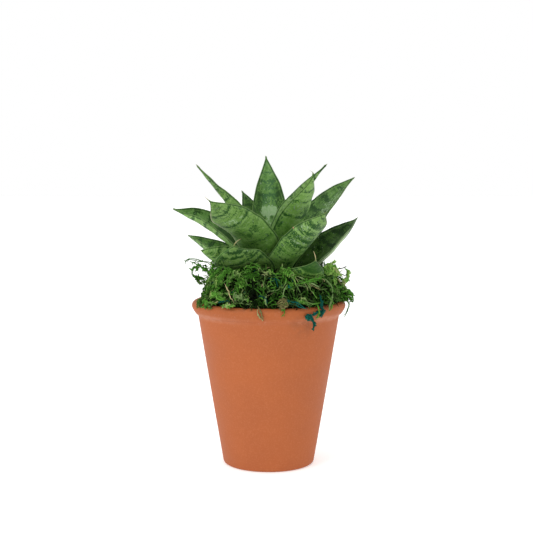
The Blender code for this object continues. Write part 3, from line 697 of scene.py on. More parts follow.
RIM_TOP = 113.5
POT_HEIGHT = RIM_TOP * MM
RIM_RADIUS = 53 * MM
CREASE_RADIUS = 48.9 * MM
CREASE_HEIGHT = 103.9 * MM
FOOT_RADIUS = 31.5 * MM
WALL = 5 * MM
FLOOR = 6 * MM
DRAIN_RADIUS = 6 * MM
POT_SIDES = 160


def wall_radius(height):
    return FOOT_RADIUS + (CREASE_RADIUS - FOOT_RADIUS) * height / CREASE_HEIGHT


def inner_radius(height):
    return wall_radius(height) - WALL * 1.02


def rounded(profile, steps):
    """A smooth closed curve through the points of a profile."""
    p = np.asarray(profile)
    before, after, beyond = np.roll(p, 1, 0), np.roll(p, -1, 0), np.roll(p, -2, 0)
    out = []
    for t in np.arange(steps) / steps:
        reach = np.minimum(np.linalg.norm(after - p, axis=1), 3 * MM)[:, None]
        leave = unit(after - before) * reach
        arrive = unit(beyond - p) * reach
        out.append((2 * t**3 - 3 * t**2 + 1) * p + (t**3 - 2 * t**2 + t) * leave
                   + (3 * t**2 - 2 * t**3) * after + (t**3 - t**2) * arrive)
    return np.stack(out, axis=1).reshape(-1, 2)


def lathe(name, profile, sides, material, uneven):
    """A closed ring turned about Z, slightly out of round."""
    a = np.arange(sides) * TAU / sides
    radius, height = profile[:, :1], profile[:, 1:]
    lobes = np.sin(2 * a + 0.4) + 0.6 * np.sin(3 * a + 1.9)
    wobble = 1 + uneven * lobes * np.clip(height / POT_HEIGHT, 0, 1)
    points = np.stack([radius * np.cos(a) * wobble, radius * np.sin(a) * wobble, height + 0 * a], axis=-1)
    count = len(profile)
    faces = ring_faces(count + 1, sides) % (count * sides)
    ob = mesh_object(name, points, [faces], material)
    face_out(ob)
    return ob


def on_circle(radius, turn, height=0):
    """Points from distances and directions round the axis."""
    return np.stack([radius * np.cos(turn), radius * np.sin(turn), height + 0 * turn], axis=-1)


def make_pot(material):
    top, rim = POT_HEIGHT, RIM_RADIUS
    bead = 6.6 * MM
    mid = top - 3.4 * MM
    profile = [
        (DRAIN_RADIUS, 0.6 * MM), (DRAIN_RADIUS + 0.6 * MM, 0.0), (FOOT_RADIUS - 1.6 * MM, 0.0),
        (FOOT_RADIUS - 0.4 * MM, 0.5 * MM), (FOOT_RADIUS + 0.2 * MM, 1.8 * MM),
        (wall_radius(CREASE_HEIGHT / 3), CREASE_HEIGHT / 3),
        (wall_radius(CREASE_HEIGHT * 2 / 3), CREASE_HEIGHT * 2 / 3),
        (wall_radius(CREASE_HEIGHT) - 0.3 * MM, CREASE_HEIGHT - 1.0 * MM),
        (CREASE_RADIUS + 0.1 * MM, CREASE_HEIGHT), (CREASE_RADIUS + 1.5 * MM, CREASE_HEIGHT + 1.0 * MM),
        (rim - 1.0 * MM, mid - bead * 0.42), (rim - 0.2 * MM, mid - bead * 0.18), (rim, mid),
        (rim - 0.3 * MM, mid + 1.4 * MM), (rim - 1.3 * MM, top - 0.8 * MM),
        (rim - 2.4 * MM, top - 0.2 * MM), (rim - 3.6 * MM, top), (rim - 5.2 * MM, top - 0.5 * MM),
        (rim - 6.6 * MM, top - 2.2 * MM), (inner_radius(top - 6 * MM) - 0.1 * MM, top - 6 * MM),
        (inner_radius(FLOOR + 2.5 * MM), FLOOR + 2.5 * MM), (inner_radius(FLOOR) - 2.2 * MM, FLOOR),
        (DRAIN_RADIUS, FLOOR),
    ]
    return lathe("pot_clay", rounded(profile, 5), POT_SIDES, material, uneven=0.0006)


# Moss: a near-black bed, painted shade for the depths, under several thousand curly strands, in millimetres

MOSS_INNER = 24.5
MOSS_TOP = 132.5
MOSS_AT_RIM = 115.7
MOSS_SWELL = 2.5
SWELL_TURN = -125
SOIL_TOP = 108.0
BED_DROP = 2.6
BED_TURNS = 180
BED_UNDERSIDE = [
    (MOSS_INNER, SOIL_TOP + 0.4), (36, SOIL_TOP - 0.3), (43.2, SOIL_TOP - 0.9), (43.9, 109.9),
    (46, RIM_TOP + 0.4), (48.6, RIM_TOP + 0.4),
]
GRID_REACH = 61
GRID_STEP = 1.5
GRID_TURNS = 240
UNDER_LEAF = 1.6
LEAF_CLEAR = 0.55
POT_CLEAR = 0.15
POT_PUSH = 0.2


def lumpy(points, waves):
    """A smooth field between about -1 and 1 over points in millimetres."""
    return sum(np.sin(points @ w[:3] + w[3]) for w in waves) / math.sqrt(len(waves))


def field(draw, low, high, count=7):
    """Waves for lumpy, with wavelengths between low and high millimetres."""
    aim = unit(draw.normal(size=(count, 3)))
    length = draw.uniform(low, high, (count, 1))
    return np.concatenate([aim * TAU / length, draw.uniform(0, TAU, (count, 1))], axis=1)


def left_gap(turn):
    """How far the moss stays back from the rim's left end."""
    return 3.0 * np.maximum(0, -np.cos(turn)) ** 4


def heap_edge(turn):
    """How far out the mound reaches in each direction: furthest on the right."""
    return 49.4 + 2.0 * np.cos(turn) + 0.7 * np.sin(3 * turn + 1) - left_gap(turn)


def heap_spill(turn):
    """How far strands may stand out past the edge: furthest on the right."""
    return 2.2 + 5.5 * np.maximum(0, np.cos(turn - 0.15)) ** 2


class Heap:
    """The top of the moss on a grid round the plant, pressed down by the leaves."""

    def __init__(self, blades, draw):
        self.radii = np.arange(MOSS_INNER - 3, GRID_REACH, GRID_STEP)
        self.turns = np.arange(GRID_TURNS) * TAU / GRID_TURNS
        radius, turn = np.meshgrid(self.radii, self.turns, indexing="ij")
        flat = on_circle(radius, turn)
        rise = smooth((heap_edge(turn) - radius) / 10.0)
        self.lumps = 1.9 * lumpy(flat, field(draw, 9, 17)) + 1.1 * lumpy(flat, field(draw, 5, 8))
        swell = MOSS_SWELL * np.maximum(0, np.cos(turn - math.radians(SWELL_TURN))) ** 2
        mound = MOSS_AT_RIM + (MOSS_TOP - MOSS_AT_RIM + swell) * rise + self.lumps * np.sqrt(rise)
        self.top = mound.copy()
        for i, r in enumerate(self.radii):
            for k, a in enumerate(self.turns):
                start = Vector((r * math.cos(a), r * math.sin(a), SOIL_TOP + 0.5)) * MM
                hit = blades.ray_cast(start, Vector(UP))
                roof = hit[0].z / MM - UNDER_LEAF if hit[0] else math.inf
                self.top[i, k] = max(min(mound[i, k], roof), SOIL_TOP + 1.5)

    def read(self, grid, points):
        """The grid's value at each of some points."""
        radius = np.hypot(points[..., 0], points[..., 1])
        turn = np.arctan2(points[..., 1], points[..., 0]) % TAU
        i = np.clip((radius - self.radii[0]) / GRID_STEP, 0, len(self.radii) - 1.001)
        k = turn / TAU * GRID_TURNS
        i0, k0 = i.astype(int), k.astype(int) % GRID_TURNS
        in_i, in_k = i - i0, k - np.floor(k)
        k1 = (k0 + 1) % GRID_TURNS
        low = grid[i0, k0] * (1 - in_k) + grid[i0, k1] * in_k
        high = grid[i0 + 1, k0] * (1 - in_k) + grid[i0 + 1, k1] * in_k
        return low * (1 - in_i) + high * in_i

    def height(self, points):
        return self.read(self.top, points)

    def steep(self, points):
        """How much longer the slope is than its plan."""
        out = unit(points * [1, 1, 0])
        rise = self.height(points + out) - self.height(points - out)
        return np.sqrt(1 + (rise / 2) ** 2)


def tubes(paths, radii, sides):
    """Points and faces of closed tubes along many paths of one length."""
    count, steps = paths.shape[:2]
    along = np.empty_like(paths)
    along[:, 1:-1] = paths[:, 2:] - paths[:, :-2]
    along[:, 0] = paths[:, 1] - paths[:, 0]
    along[:, -1] = paths[:, -1] - paths[:, -2]
    along = unit(along)
    guide = np.where(np.abs(along[:, 0, 2:]) < 0.8, UP, [1.0, 0.0, 0.0])
    side = np.empty_like(paths)
    side[:, 0] = unit(np.cross(along[:, 0], guide))
    for j in range(1, steps):
        held = side[:, j - 1]
        side[:, j] = unit(held - (held * along[:, j]).sum(-1, keepdims=True) * along[:, j])
    other = np.cross(along, side)
    a = (np.arange(sides) * TAU / sides)[:, None]
    ring = side[:, :, None] * np.cos(a) + other[:, :, None] * np.sin(a)
    points = paths[:, :, None] + ring * radii[:, :, None, None]
    tail = paths[:, :1] - along[:, :1] * radii[:, :1, None] * 0.8
    tip = paths[:, -1:] + along[:, -1:] * radii[:, -1:, None] * 1.2
    points = np.concatenate([points.reshape(count, -1, 3), tail, tip], axis=1)
    first = np.arange(sides)
    last = (steps - 1) * sides + first
    ends = np.concatenate([
        np.stack([np.roll(first, -1), first, np.full(sides, steps * sides)], axis=1),
        np.stack([last, np.roll(last, -1), np.full(sides, steps * sides + 1)], axis=1),
    ])
    shift = (np.arange(count) * points.shape[1])[:, None, None]
    walls = (ring_faces(steps, sides) + shift).reshape(-1, 4)
    return points.reshape(-1, 3), walls, (ends + shift).reshape(-1, 3)


def wander(draw, heap, start, aim, length, steps, curl, lift, follow, ceiling=139.5):
    """Curly paths that start at points and follow the top of the heap at their lift."""
    size = start.shape
    p = start
    d = unit(aim)
    step = (length / (steps - 1))[:, None]
    axis = unit(draw.normal(size=size))
    turn = curl[:, None] * step
    paths = [start]
    for _ in range(1, steps):
        axis = unit(axis + 0.35 * draw.normal(size=size))
        d = unit(d + np.cross(axis, d) * turn + 0.16 * draw.normal(size=size))
        p = p + d * step
        pull = np.clip(heap.height(p) + lift - p[:, 2], -1.2, 1.2) * follow
        d[:, 2] += 0.25 * pull
        d = unit(d)
        p[:, 2] = np.minimum(p[:, 2] + pull, ceiling)
        paths.append(p)
    return np.stack(paths, axis=1)


def settle(paths, reach, blades, pot):
    """Moves points out of the leaves and the pot, and says which paths stay clear."""
    clear = np.ones(len(paths), bool)
    for i, path in enumerate(paths):
        for j, p in enumerate(path):
            at = Vector(p) * MM
            found, normal, _, distance = blades.find_nearest(at)
            gap = reach[i] + LEAF_CLEAR
            if distance / MM < gap:
                inside = (at - found).dot(normal) < 0
                away = found - at if inside else at - found
                away = away.normalized() if away.length > 1e-7 else normal
                at = found + away * gap * MM
                again = blades.find_nearest(at)
                if again[3] / MM < gap * 0.6:
                    clear[i] = False
                path[j] = np.array(at) / MM
            found, normal, _, distance = pot.find_nearest(at)
            if (at - found).dot(normal) < 0 or distance / MM < reach[i] + POT_CLEAR:
                at = found + normal * (reach[i] + POT_PUSH) * MM
                path[j] = np.array(at) / MM
    return clear


def knobbly(draw, count, steps, thickness):
    """Radii along strands: uneven, with thin ends."""
    share = np.linspace(0, 1, steps)
    ends = np.minimum(1, 0.35 + 3.2 * np.minimum(share, 1 - share))
    return thickness[:, None] * ends * draw.uniform(0.5, 1.5, (count, steps))


def twigs(draw, paths, radii, tones, count):
    """Short leafy spurs that leave strands at random places."""
    pick = draw.integers(0, len(paths), count)
    at = draw.integers(1, paths.shape[1] - 1, count)
    along = unit(paths[pick, at + 1] - paths[pick, at - 1])
    aim = unit(along * 0.7 + unit(draw.normal(size=(count, 3))))
    length = draw.uniform(0.8, 2.6, count)
    bend = draw.normal(size=(count, 3)) * 0.3
    share = np.array([0.0, 0.55, 1.0])[:, None]
    reach = aim[:, None] * length[:, None, None] * share
    spur = paths[pick, at][:, None] + reach + bend[:, None] * share ** 2
    thick = np.maximum(radii[pick, at], 0.24)[:, None] * np.array([0.8, 1.0, 0.45])
    # Lighter towards their ends: a painted highlight
    return spur, thick, tones[pick, at][:, None] + np.array([0, 0.04, 0.12])


def strand_piece(name, sets, material):
    """One mesh from sets of strands: paths, radii, tones and sides."""
    parts = []
    start = 0
    for paths, radii, tones, sides in sets:
        points, walls, ends = tubes(paths, radii, sides)
        tone = np.concatenate([np.repeat(tones, sides, axis=1), tones[:, :1], tones[:, -1:]], axis=1)
        parts.append((points, walls + start, ends + start, tone.ravel()))
        start += len(points)
    points, walls, ends, tone = (np.concatenate(part) for part in zip(*parts))
    return mesh_object(name, points * MM, [walls, ends], material, {"moss_tone": tone})


def smooth_line(points, steps):
    """Evenly spaced points on a curve through a few points."""
    p = np.asarray(points, float)
    p = np.concatenate([2 * p[:1] - p[1:2], p, 2 * p[-1:] - p[-2:-1]])
    out = []
    for u in np.linspace(0, len(p) - 3 - 1e-6, steps):
        i = int(u)
        t = u - i
        a, b, c, d = p[i:i + 4]
        out.append(0.5 * (2 * b + (c - a) * t + (2 * a - 5 * b + 4 * c - d) * t * t
                          + (3 * b - a - 3 * c + d) * t ** 3))
    return np.array(out)


# Strands that stand out in the photo: a few points in millimetres each, then their
# thickness, their tone, how many there are and how far the copies scatter
GREEN_STRANDS = [
    ([(-57, -5, 138.5), (-55, -5, 142), (-45, -6, 140.5), (-36, -8, 136.5)], 0.34, 0.42, 2, 0.7),
    ([(-54, -5, 141), (-48, -6, 137.5), (-43, -8, 134.5), (-38, -10, 131.5)], 0.42, 0.5, 3, 0.8),
    ([(-49, -6, 138.5), (-43, -8, 135.5), (-39, -12, 130.5)], 0.36, 0.45, 3, 1.2),
    ([(-44, -8, 138), (-40, -12, 133.5), (-37, -14, 128.5)], 0.42, 0.5, 4, 1.4),
    ([(-45, -6, 124.5), (-49, -5, 127.5), (-52, -5, 131.5)], 0.75, 0.42, 3, 0.6),
    ([(-52, -5, 130.5), (-52.5, -5, 134.5), (-50, -5, 136.5), (-48, -6, 133.5)], 0.72, 0.5, 2, 0.5),
    ([(-50, -5, 131.5), (-46, -6, 128.5), (-41, -8, 124.5)], 0.5, 0.4, 3, 0.8),
    ([(38, -15, 132.5), (41, -15, 137.5), (45.5, -14, 141.5)], 0.8, 0.92, 6, 0.8),
    ([(36, -16, 132.5), (40, -16, 135), (46, -14, 135.5)], 0.7, 0.92, 7, 1.2),
    ([(35, -15, 132.5), (36.5, -15, 135.5), (38, -14, 138.5)], 0.5, 0.62, 6, 1.1),
    ([(36, -18, 129.5), (43, -15, 131.5), (50, -13, 132.5)], 0.65, 0.86, 7, 1.4),
    ([(33, -20, 128.5), (38, -19, 130), (43, -17, 127.5)], 0.5, 0.66, 6, 1.6),
    ([(52, -6, 135.5), (55, -5, 133.5), (54, -5, 129.5), (52, -6, 125.5), (49, -8, 121.5)],
     0.85, 0.78, 4, 0.45),
    ([(46, -9, 122.5), (51, -7, 121.5), (56, -6, 119), (57.5, -6, 115.5)], 0.7, 0.62, 6, 1.0),
    ([(47, -14, 119.5), (52, -12, 118.5), (56, -10, 116), (55.5, -9, 112.5)], 0.5, 0.5, 5, 1.0),
    ([(50, -12, 117.5), (54, -10, 114.5), (55, -9, 110.5), (53, -10, 105.5), (51, -11, 102.5)],
     0.5, 0.55, 1, 0.4),
    ([(21, -46, 120.5), (18.5, -47, 119), (20, -48, 117.5), (22, -47, 118.5), (26, -46, 115.5),
      (34, -41, 116.5)], 0.5, 0.70, 6, 0.9),
    ([(32, -44, 115.5), (32.5, -46, 112.5), (32, -46, 108.5), (31, -45, 106.5)], 0.42, 0.78, 1, 0.3),
    ([(-31, -44, 114.3), (-26, -47.5, 115), (-22, -49, 115)], 0.6, 0.74, 3, 0.5),
    ([(-19, -36, 137.5), (-20.5, -36, 136.5), (-19.5, -37, 134.5)], 0.5, 0.95, 1, 0.0),
    ([(-16, -39, 137.5), (-14.5, -38, 140), (-8.5, -39, 140), (-5.5, -42, 136)], 0.4, 0.62, 3, 0.8),
    ([(-5, -42, 135), (-1, -42.5, 135.5), (2.5, -41, 137)], 0.5, 0.74, 3, 0.9),
    ([(-37.5, -24, 131.5), (-38, -18, 136.5), (-37.5, -13, 139.5), (-36, -12, 141.5)], 0.5, 0.66, 5, 1.1),
    ([(-35, -20, 139.5), (-33.5, -23, 138), (-30.5, -27, 136.5)], 0.4, 0.6, 5, 1.2),
    ([(-27, -34, 136.5), (-23, -37, 133.5), (-20, -40, 132.5)], 0.45, 0.42, 5, 1.4),
    ([(8, -41, 135.5), (11, -41, 137.5), (15, -42, 135.5), (17, -43, 132)], 0.5, 0.70, 9, 1.5),
    ([(18, -44, 129.5), (24, -44, 130.5), (30, -41.5, 131), (36, -37, 132.5)], 0.45, 0.62, 4, 1.0),
    ([(-21.5, -38, 131.5), (-19, -39, 132), (-17, -41, 129.5), (-15, -44, 125)], 0.55, 0.78, 5, 1.3),
    ([(-39.5, -31, 119), (-36.5, -34, 120.5), (-31, -38.5, 121)], 0.6, 0.78, 4, 0.9),
    ([(38, -14, 134.5), (42, -9, 135.5), (46, -8, 134.5), (48, -8, 132)], 0.55, 0.95, 6, 1.3),
    ([(38, -36, 120.5), (42, -38, 116.5), (42, -37, 114), (39.5, -39, 110.5)], 0.42, 0.72, 1, 0.3),
    ([(-21, -40, 132.5), (-17, -41, 128.5), (-15, -42, 122.5)], 0.6, 0.72, 5, 1.3),
    ([(-22, -39, 129.5), (-20, -42, 124.5), (-18, -44, 119.5)], 0.5, 0.68, 4, 1.5),
    ([(-38, -38, 123.5), (-33, -42, 120.5), (-28, -44, 118.5)], 0.55, 0.72, 5, 1.2),
    ([(-17, -45, 121.5), (-13, -47, 118.5), (-11, -48.5, 115.3)], 0.45, 0.72, 3, 1.0),
    ([(-45, -24, 116.1), (-40, -32, 115.5), (-34, -38.5, 115.5)], 0.6, 0.66, 4, 0.8),
    ([(-44, -16, 118), (-46, -18, 115.5), (-47, -20, 113.8), (-46.5, -22, 111)], 0.45, 0.4, 4, 0.9),
    ([(-44, -22, 117), (-46, -26, 114.5), (-45.5, -28, 111.5)], 0.45, 0.42, 5, 1.1),
    ([(-42, -27, 117), (-42, -31, 114.5), (-40, -35, 113.5), (-37, -38, 112)], 0.5, 0.58, 6, 1.1),
    ([(-6, -43, 135), (-10, -43.5, 134.5), (-14, -43, 133), (-17, -42, 131)], 0.42, 0.5, 6, 1.3),
    ([(-36, -34, 127), (-36, -39, 134), (-33, -44, 138.5), (-29, -47, 141)], 0.42, 0.46, 6, 1.3),
    ([(-34, -38, 127), (-31, -44, 134), (-27, -47.5, 138), (-23, -49, 138.5)], 0.42, 0.5, 6, 1.4),
    ([(-28, -42, 128), (-24, -46, 134), (-20, -48, 136.5), (-17, -47, 134)], 0.45, 0.6, 5, 1.3),
    ([(-17, -42, 133), (-13, -42.5, 135), (-9, -43, 134.5)], 0.42, 0.56, 5, 1.2),
    ([(6, -49, 116.5), (8, -51.3, 114.5), (10, -53, 112), (8.5, -53.6, 109)], 0.42, 0.6, 1, 0.3),
]
SAGE_STRANDS = [
    ([(19, -38, 134.5), (22, -38.5, 132.5), (29, -38, 128.5), (33, -36, 126)], 0.62, 0.66, 1, 0.0),
    ([(36, -26, 131.5), (39, -25, 128.5), (42, -26, 123.5), (42, -30, 118.5), (41, -36, 115.5),
      (39.5, -40, 111.5)], 0.72, 0.74, 1, 0.0),
    ([(16.5, -42, 129.5), (20, -41.5, 128), (27, -39.5, 126.5)], 0.42, 0.62, 1, 0.0),
    ([(-1, -47.5, 123.5), (1, -47, 125), (6.5, -47, 125.5)], 0.48, 0.66, 1, 0.0),
    ([(-2, -48, 123), (-2, -50, 120), (-2, -51, 116)], 0.6, 0.62, 1, 0.0),
    ([(-23, -43.5, 120.5), (-20, -44.5, 122), (-13, -46, 123)], 0.5, 0.68, 6, 1.5),
    ([(-21.5, -45.5, 118.5), (-18, -47, 119.5), (-14, -48, 119.5)], 0.5, 0.64, 5, 1.3),
    ([(25.5, -40, 130.5), (31, -37.5, 132.5), (37.5, -30, 133.5)], 0.42, 0.58, 2, 0.6),
    ([(8, -47, 124.5), (11, -47.5, 120.5), (12, -49, 116.5)], 0.4, 0.5, 2, 0.8),
]
PALE_STRANDS = [
    ([(-29, -44, 129.5), (-26, -46, 123.5), (-23, -46.5, 117.5)], 0.40, 0.8, 1, 0.0),
    ([(-43, -28, 115), (-38, -35, 115.5), (-33, -40, 117)], 0.42, 0.55, 1, 0.0),
    ([(-2, -46, 123.5), (-2.5, -48, 119), (-1, -49.5, 115)], 0.36, 0.5, 1, 0.0),
    ([(33, -30, 132.5), (35.5, -30.5, 131), (37, -31, 129.5)], 0.42, 0.40, 1, 0.0),
    ([(18, -34, 134.5), (24, -36, 130.5), (30, -37, 126.5), (34, -36, 124.5)], 0.38, 0.32, 1, 0.0),
    ([(-7, -51, 115.5), (-5.5, -53.6, 112.5), (-4.5, -53.6, 109.5), (-3, -53, 106.5)], 0.40, 0.25, 2, 0.3),
    ([(5, -50, 116.5), (8, -50, 119), (10.5, -50, 117.5), (9, -51.5, 115), (6, -51.5, 115.5)],
     0.5, 0.32, 7, 1.1),
    ([(-7.5, -53, 114), (-7, -54, 111.5), (-6.5, -53.8, 109), (-4, -52, 106)], 0.42, 0.52, 1, 0.0),
]
TEAL_STRANDS = [
    ([(0, -44, 130.5), (2, -44, 131), (4.5, -43.5, 132)], 0.34, 0.60, 2, 0.4),
    ([(12.5, -44.5, 128), (15, -45, 127)], 0.32, 0.5, 2, 0.5),
    ([(8.5, -49.5, 120), (12.5, -50, 118.3), (16, -49.5, 118), (19.5, -49.5, 116.5), (25, -50, 113.5)],
     0.34, 0.52, 3, 0.6),
    ([(34, -37, 121), (34.5, -39, 118), (35.5, -40, 115.5)], 0.32, 0.5, 2, 0.4),
    ([(-33.5, -40, 116), (-30, -41.5, 117.5), (-26, -44, 117.5)], 0.38, 0.5, 3, 0.5),
]


def feature_set(draw, rows, steps=14):
    """Strands along the listed lines, each with shorter copies scattered round it."""
    paths, radii, tones = [], [], []
    share = np.linspace(0, 1, steps)
    ends = np.minimum(1, 0.35 + 3 * np.minimum(share, 1 - share))
    for points, thick, tone, copies, scatter in rows:
        line = smooth_line(points, 40)
        for n in range(copies):
            low, high = (0, 1) if n == 0 else (draw.uniform(0, 0.35), draw.uniform(0.6, 1))
            part = line[np.round((low + (high - low) * share) * 39).astype(int)]
            wave = draw.uniform(0, TAU, (3, 3))
            size = 0.25 + 0.5 * scatter * (n > 0)
            wobble = (np.sin(share[:, None] * 7 + wave[0]) * size
                      + np.sin(share[:, None] * 15 + wave[1]) * size * 0.6
                      + np.sin(share[:, None] * 29 + wave[2]) * 0.16)
            drift = draw.normal(size=3) * scatter * 0.7 * (n > 0)
            paths.append(part + wobble + drift)
            radii.append(thick * draw.uniform(0.55, 1.4, steps) * ends)
            tones.append(tone + draw.normal() * 0.07 + 0.06 * np.sin(share * 12 + wave[0, 0]))
    return np.array(paths), np.array(radii), np.array(tones)


def make_moss_bed(heap, material):
    """The dark mass under the strands, near-black as painted shade in the depths between them: a lumpy
    closed ring on the soil and the rim.
    """
    waves = field(np.random.default_rng(5), 2.4, 5.0, 9)
    turns = np.arange(BED_TURNS) * TAU / BED_TURNS

    def ring(radius, height):
        return on_circle(radius - left_gap(turns) * smooth((radius - 38) / 10), turns, height)

    rings = [ring(radius, height) for radius, height in BED_UNDERSIDE]
    for radius in np.arange(49.2, MOSS_INNER - 0.01, -1.3):
        p = ring(radius, 0)
        p[:, 2] = heap.height(p) - BED_DROP
        p[:, 2] += 0.5 * lumpy(p, waves)
        p[:, 2] = np.maximum(p[:, 2], RIM_TOP + 0.6 if radius > 44 else SOIL_TOP + 1.2)
        rings.append(p)
    total = len(rings) * BED_TURNS
    faces = ring_faces(len(rings) + 1, BED_TURNS) % total
    # Near-black all over: painted shade
    tone = np.full(total, 0.06)
    ob = mesh_object("moss_bed", np.array(rings) * MM, [faces], material, {"moss_tone": tone})
    face_out(ob)
    return ob


def make_moss(blades, pot, green, sage, dry, teal):
    """Every strand of the moss, in a few pieces."""
    draw = np.random.default_rng(11)
    heap = Heap(blades, np.random.default_rng(31))
    patches = field(draw, 10, 24)
    hollows = field(draw, 7, 13)
    pieces = [make_moss_bed(heap, green)]

    def scatter(count, low, high, bare=0.0):
        """Starts spread evenly over the mound, with fewer in its hollows if bare is over 0."""
        radius = np.sqrt(draw.uniform(low ** 2, high ** 2, count * 4))
        turn = draw.uniform(0, TAU, count * 4)
        p = on_circle(radius, turn)
        keep = draw.uniform(0, 3, count * 4) < heap.steep(p)
        p, turn = p[keep][:count], turn[keep][:count]
        p[:, 2] = heap.height(p)
        if bare:
            loose = smooth((-0.15 - lumpy(p, hollows)) / 0.5)
            keep = draw.uniform(0, 1, len(p)) > bare * loose
            p, turn = p[keep], turn[keep]
        return p, turn

    def each(low, high):
        """A number for each of the strands that start now."""
        return draw.uniform(low, high, len(start))

    def flat_aims(tilt):
        return draw.normal(size=(3, len(start))).T * [1, 1, tilt]

    def family(tone, spread):
        """A tone for each strand: patchy, lighter on the lumps and darker between them as painted light and
        shade, and darker at the middle of the front as painted shade.
        """
        # Painted shade at the middle of the front
        dim = 0.12 * np.exp(-((start[:, 0] + 3) / 17) ** 2) * (start[:, 1] < 0)
        # The lumps' share is painted light on their tops and painted shade between them
        patchy = 0.13 * lumpy(start, patches) + 0.07 * heap.read(heap.lumps, start)
        return (tone + (patchy - dim + spread * draw.normal(size=len(start))))[:, None]

    def finish(paths, thick, tones, hang=0.0, over=0.0):
        """Paths, radii and tones of the strands that clear the leaves and stay with the moss."""
        clear = settle(paths, thick, blades, pot)
        turn = np.arctan2(paths[..., 1], paths[..., 0])
        radius = np.hypot(paths[..., 0], paths[..., 1])
        limit = heap_edge(turn) + heap_spill(turn) + over
        low = np.where(radius > 47, RIM_TOP + 0.4 - hang, SOIL_TOP - 4)
        clear &= (radius < limit).all(axis=1) & (paths[..., 2] > low).all(axis=1)
        radii = knobbly(draw, len(paths), paths.shape[1], thick)
        return paths[clear], radii[clear], (tones + 0 * radii)[clear]

    def listed(rows, reach=0.5):
        """The strands of a list, moved out of the leaves and the pot."""
        made = feature_set(draw, rows)
        settle(made[0], np.full(len(made[0]), reach), blades, pot)
        return made

    # Strands that lie on the mound
    start, _ = scatter(4600, 25.5, 50.8, bare=0.95)
    lift = each(-2.6, 1.8)
    start[:, 2] += lift
    curl = each(0.05, 0.40)
    paths = wander(draw, heap, start, flat_aims(0.3), each(6, 14), 11, curl, lift, 0.45)
    # Strands lying deeper are darker and those riding higher are lighter: painted shade and painted light
    tones = family(0.275 + 0.105 * lift, 0.11) + 0.04 * (paths[..., 2] - heap.height(paths))
    mat = finish(paths, each(0.24, 0.68), tones, hang=0.2)

    # Strands that stand out of it
    start, turn = scatter(1250, 26.5, 50.0, bare=0.9)
    start[:, 2] -= 1.5
    lean = each(-1.2, 1.2) + turn
    outer = (np.hypot(start[:, 0], start[:, 1]) - MOSS_INNER) / 26
    flat = each(0.3, 0.7) + 0.9 * outer
    aim = on_circle(flat, lean, each(0.3, 1.0))
    curl = each(0.2, 0.65)
    paths = wander(draw, heap, start, aim, each(5, 12), 12, curl, 1.5, 0.06, ceiling=140.5)
    # Darker at the foot down in the mound and lighter at the end: painted shade and painted light
    tones = family(0.37, 0.12) + np.linspace(-0.14, 0.20, 12)
    curls = finish(paths, each(0.24, 0.52), tones, hang=1.0, over=1.0)

    # Strands that creep over the rim
    start, turn = scatter(640, 46.5, 50.8)
    start[:, 2] += each(-0.6, 1.6)
    lean = turn + each(-1.5, 1.5)
    aim = on_circle(1, lean, each(-0.5, 0.3))
    curl = each(0.2, 0.6)
    paths = wander(draw, heap, start, aim, each(3, 9), 9, curl, 0.4, 0.12)
    # Darker at the foot and lighter at the end: painted shade and painted light
    tones = family(0.33, 0.12) + np.linspace(-0.05, 0.1, 9)
    fringe = finish(paths, each(0.22, 0.40), tones, hang=2.2, over=1.0)
    standing_out = listed(GREEN_STRANDS)

    # Long smooth stems, faded to sage
    start, _ = scatter(270, 27, 50)
    lift = each(0.2, 1.9)
    start[:, 2] += lift
    curl = each(0.02, 0.22)
    paths = wander(draw, heap, start, flat_aims(0.2), each(9, 20), 15, curl, lift, 0.4)
    tones = family(0.44, 0.13)
    stems = finish(paths, each(0.26, 0.50), tones, hang=0.3, over=0.5)
    pieces.append(strand_piece("moss_stems", [(*stems, 5), (*listed(SAGE_STRANDS), 6)], sage))

    # Sets with their sides and their twigs for each strand
    third = len(mat[0]) // 3
    groups = {
        "moss_mat_a": [([v[:third] for v in mat], 3, 1.8)],
        "moss_mat_b": [([v[third:2 * third] for v in mat], 3, 1.8)],
        "moss_mat_c": [([v[2 * third:] for v in mat], 3, 1.8)],
        "moss_curls": [(curls, 4, 2.6)],
        "moss_fringe": [(fringe, 4, 1.5), (standing_out, 5, 7.0)],
    }
    for name, sets in groups.items():
        full = []
        for strands, sides, leafy in sets:
            full.append((*strands, sides))
            full.append((*twigs(draw, *strands, int(len(strands[0]) * leafy)), 3))
        pieces.append(strand_piece(name, full, green))

    # Dry stalks and dyed strands
    extra = [
        ("moss_stalks", 150, (0.35, 0.20), (0.03, 0.18), (0.20, 0.34), PALE_STRANDS, dry),
        ("moss_dyed", 90, (0.38, 0.12), (0.10, 0.40), (0.22, 0.36), TEAL_STRANDS, teal),
    ]
    for name, count, (tone, spread), curl, thick, rows, material in extra:
        start, _ = scatter(count, 26, 50)
        lift = each(-0.4, 1.4)
        start[:, 2] += lift
        paths = wander(draw, heap, start, flat_aims(0.2), each(6, 14), 11, each(*curl), lift, 0.4)
        tones = (tone + spread * draw.normal(size=len(start)))[:, None]
        loose = finish(paths, each(*thick), tones, hang=0.5)
        pieces.append(strand_piece(name, [(*loose, 4), (*listed(rows, 0.4), 5)], material))
    return pieces


# The dyed tuft: its arm, the bridge to its knot, and its tail
TUFT_LINES = [
    [(33.5, -36, 121), (34.5, -40.5, 116), (34.5, -43.5, 113.5), (35.5, -42.5, 111), (34, -43.5, 108)],
    [(34.5, -43, 111.5), (31.5, -45.5, 110.5), (27, -48, 108.5)],
    [(27.5, -47.5, 107.5), (29, -45, 104.5), (30, -43.5, 102.5), (29, -43.5, 99.5)],
]
# The knot: its middle, size, strands and tone
TUFT_KNOT = ((26.2, -48.0, 107.8), 2.3, 150, 0.46)
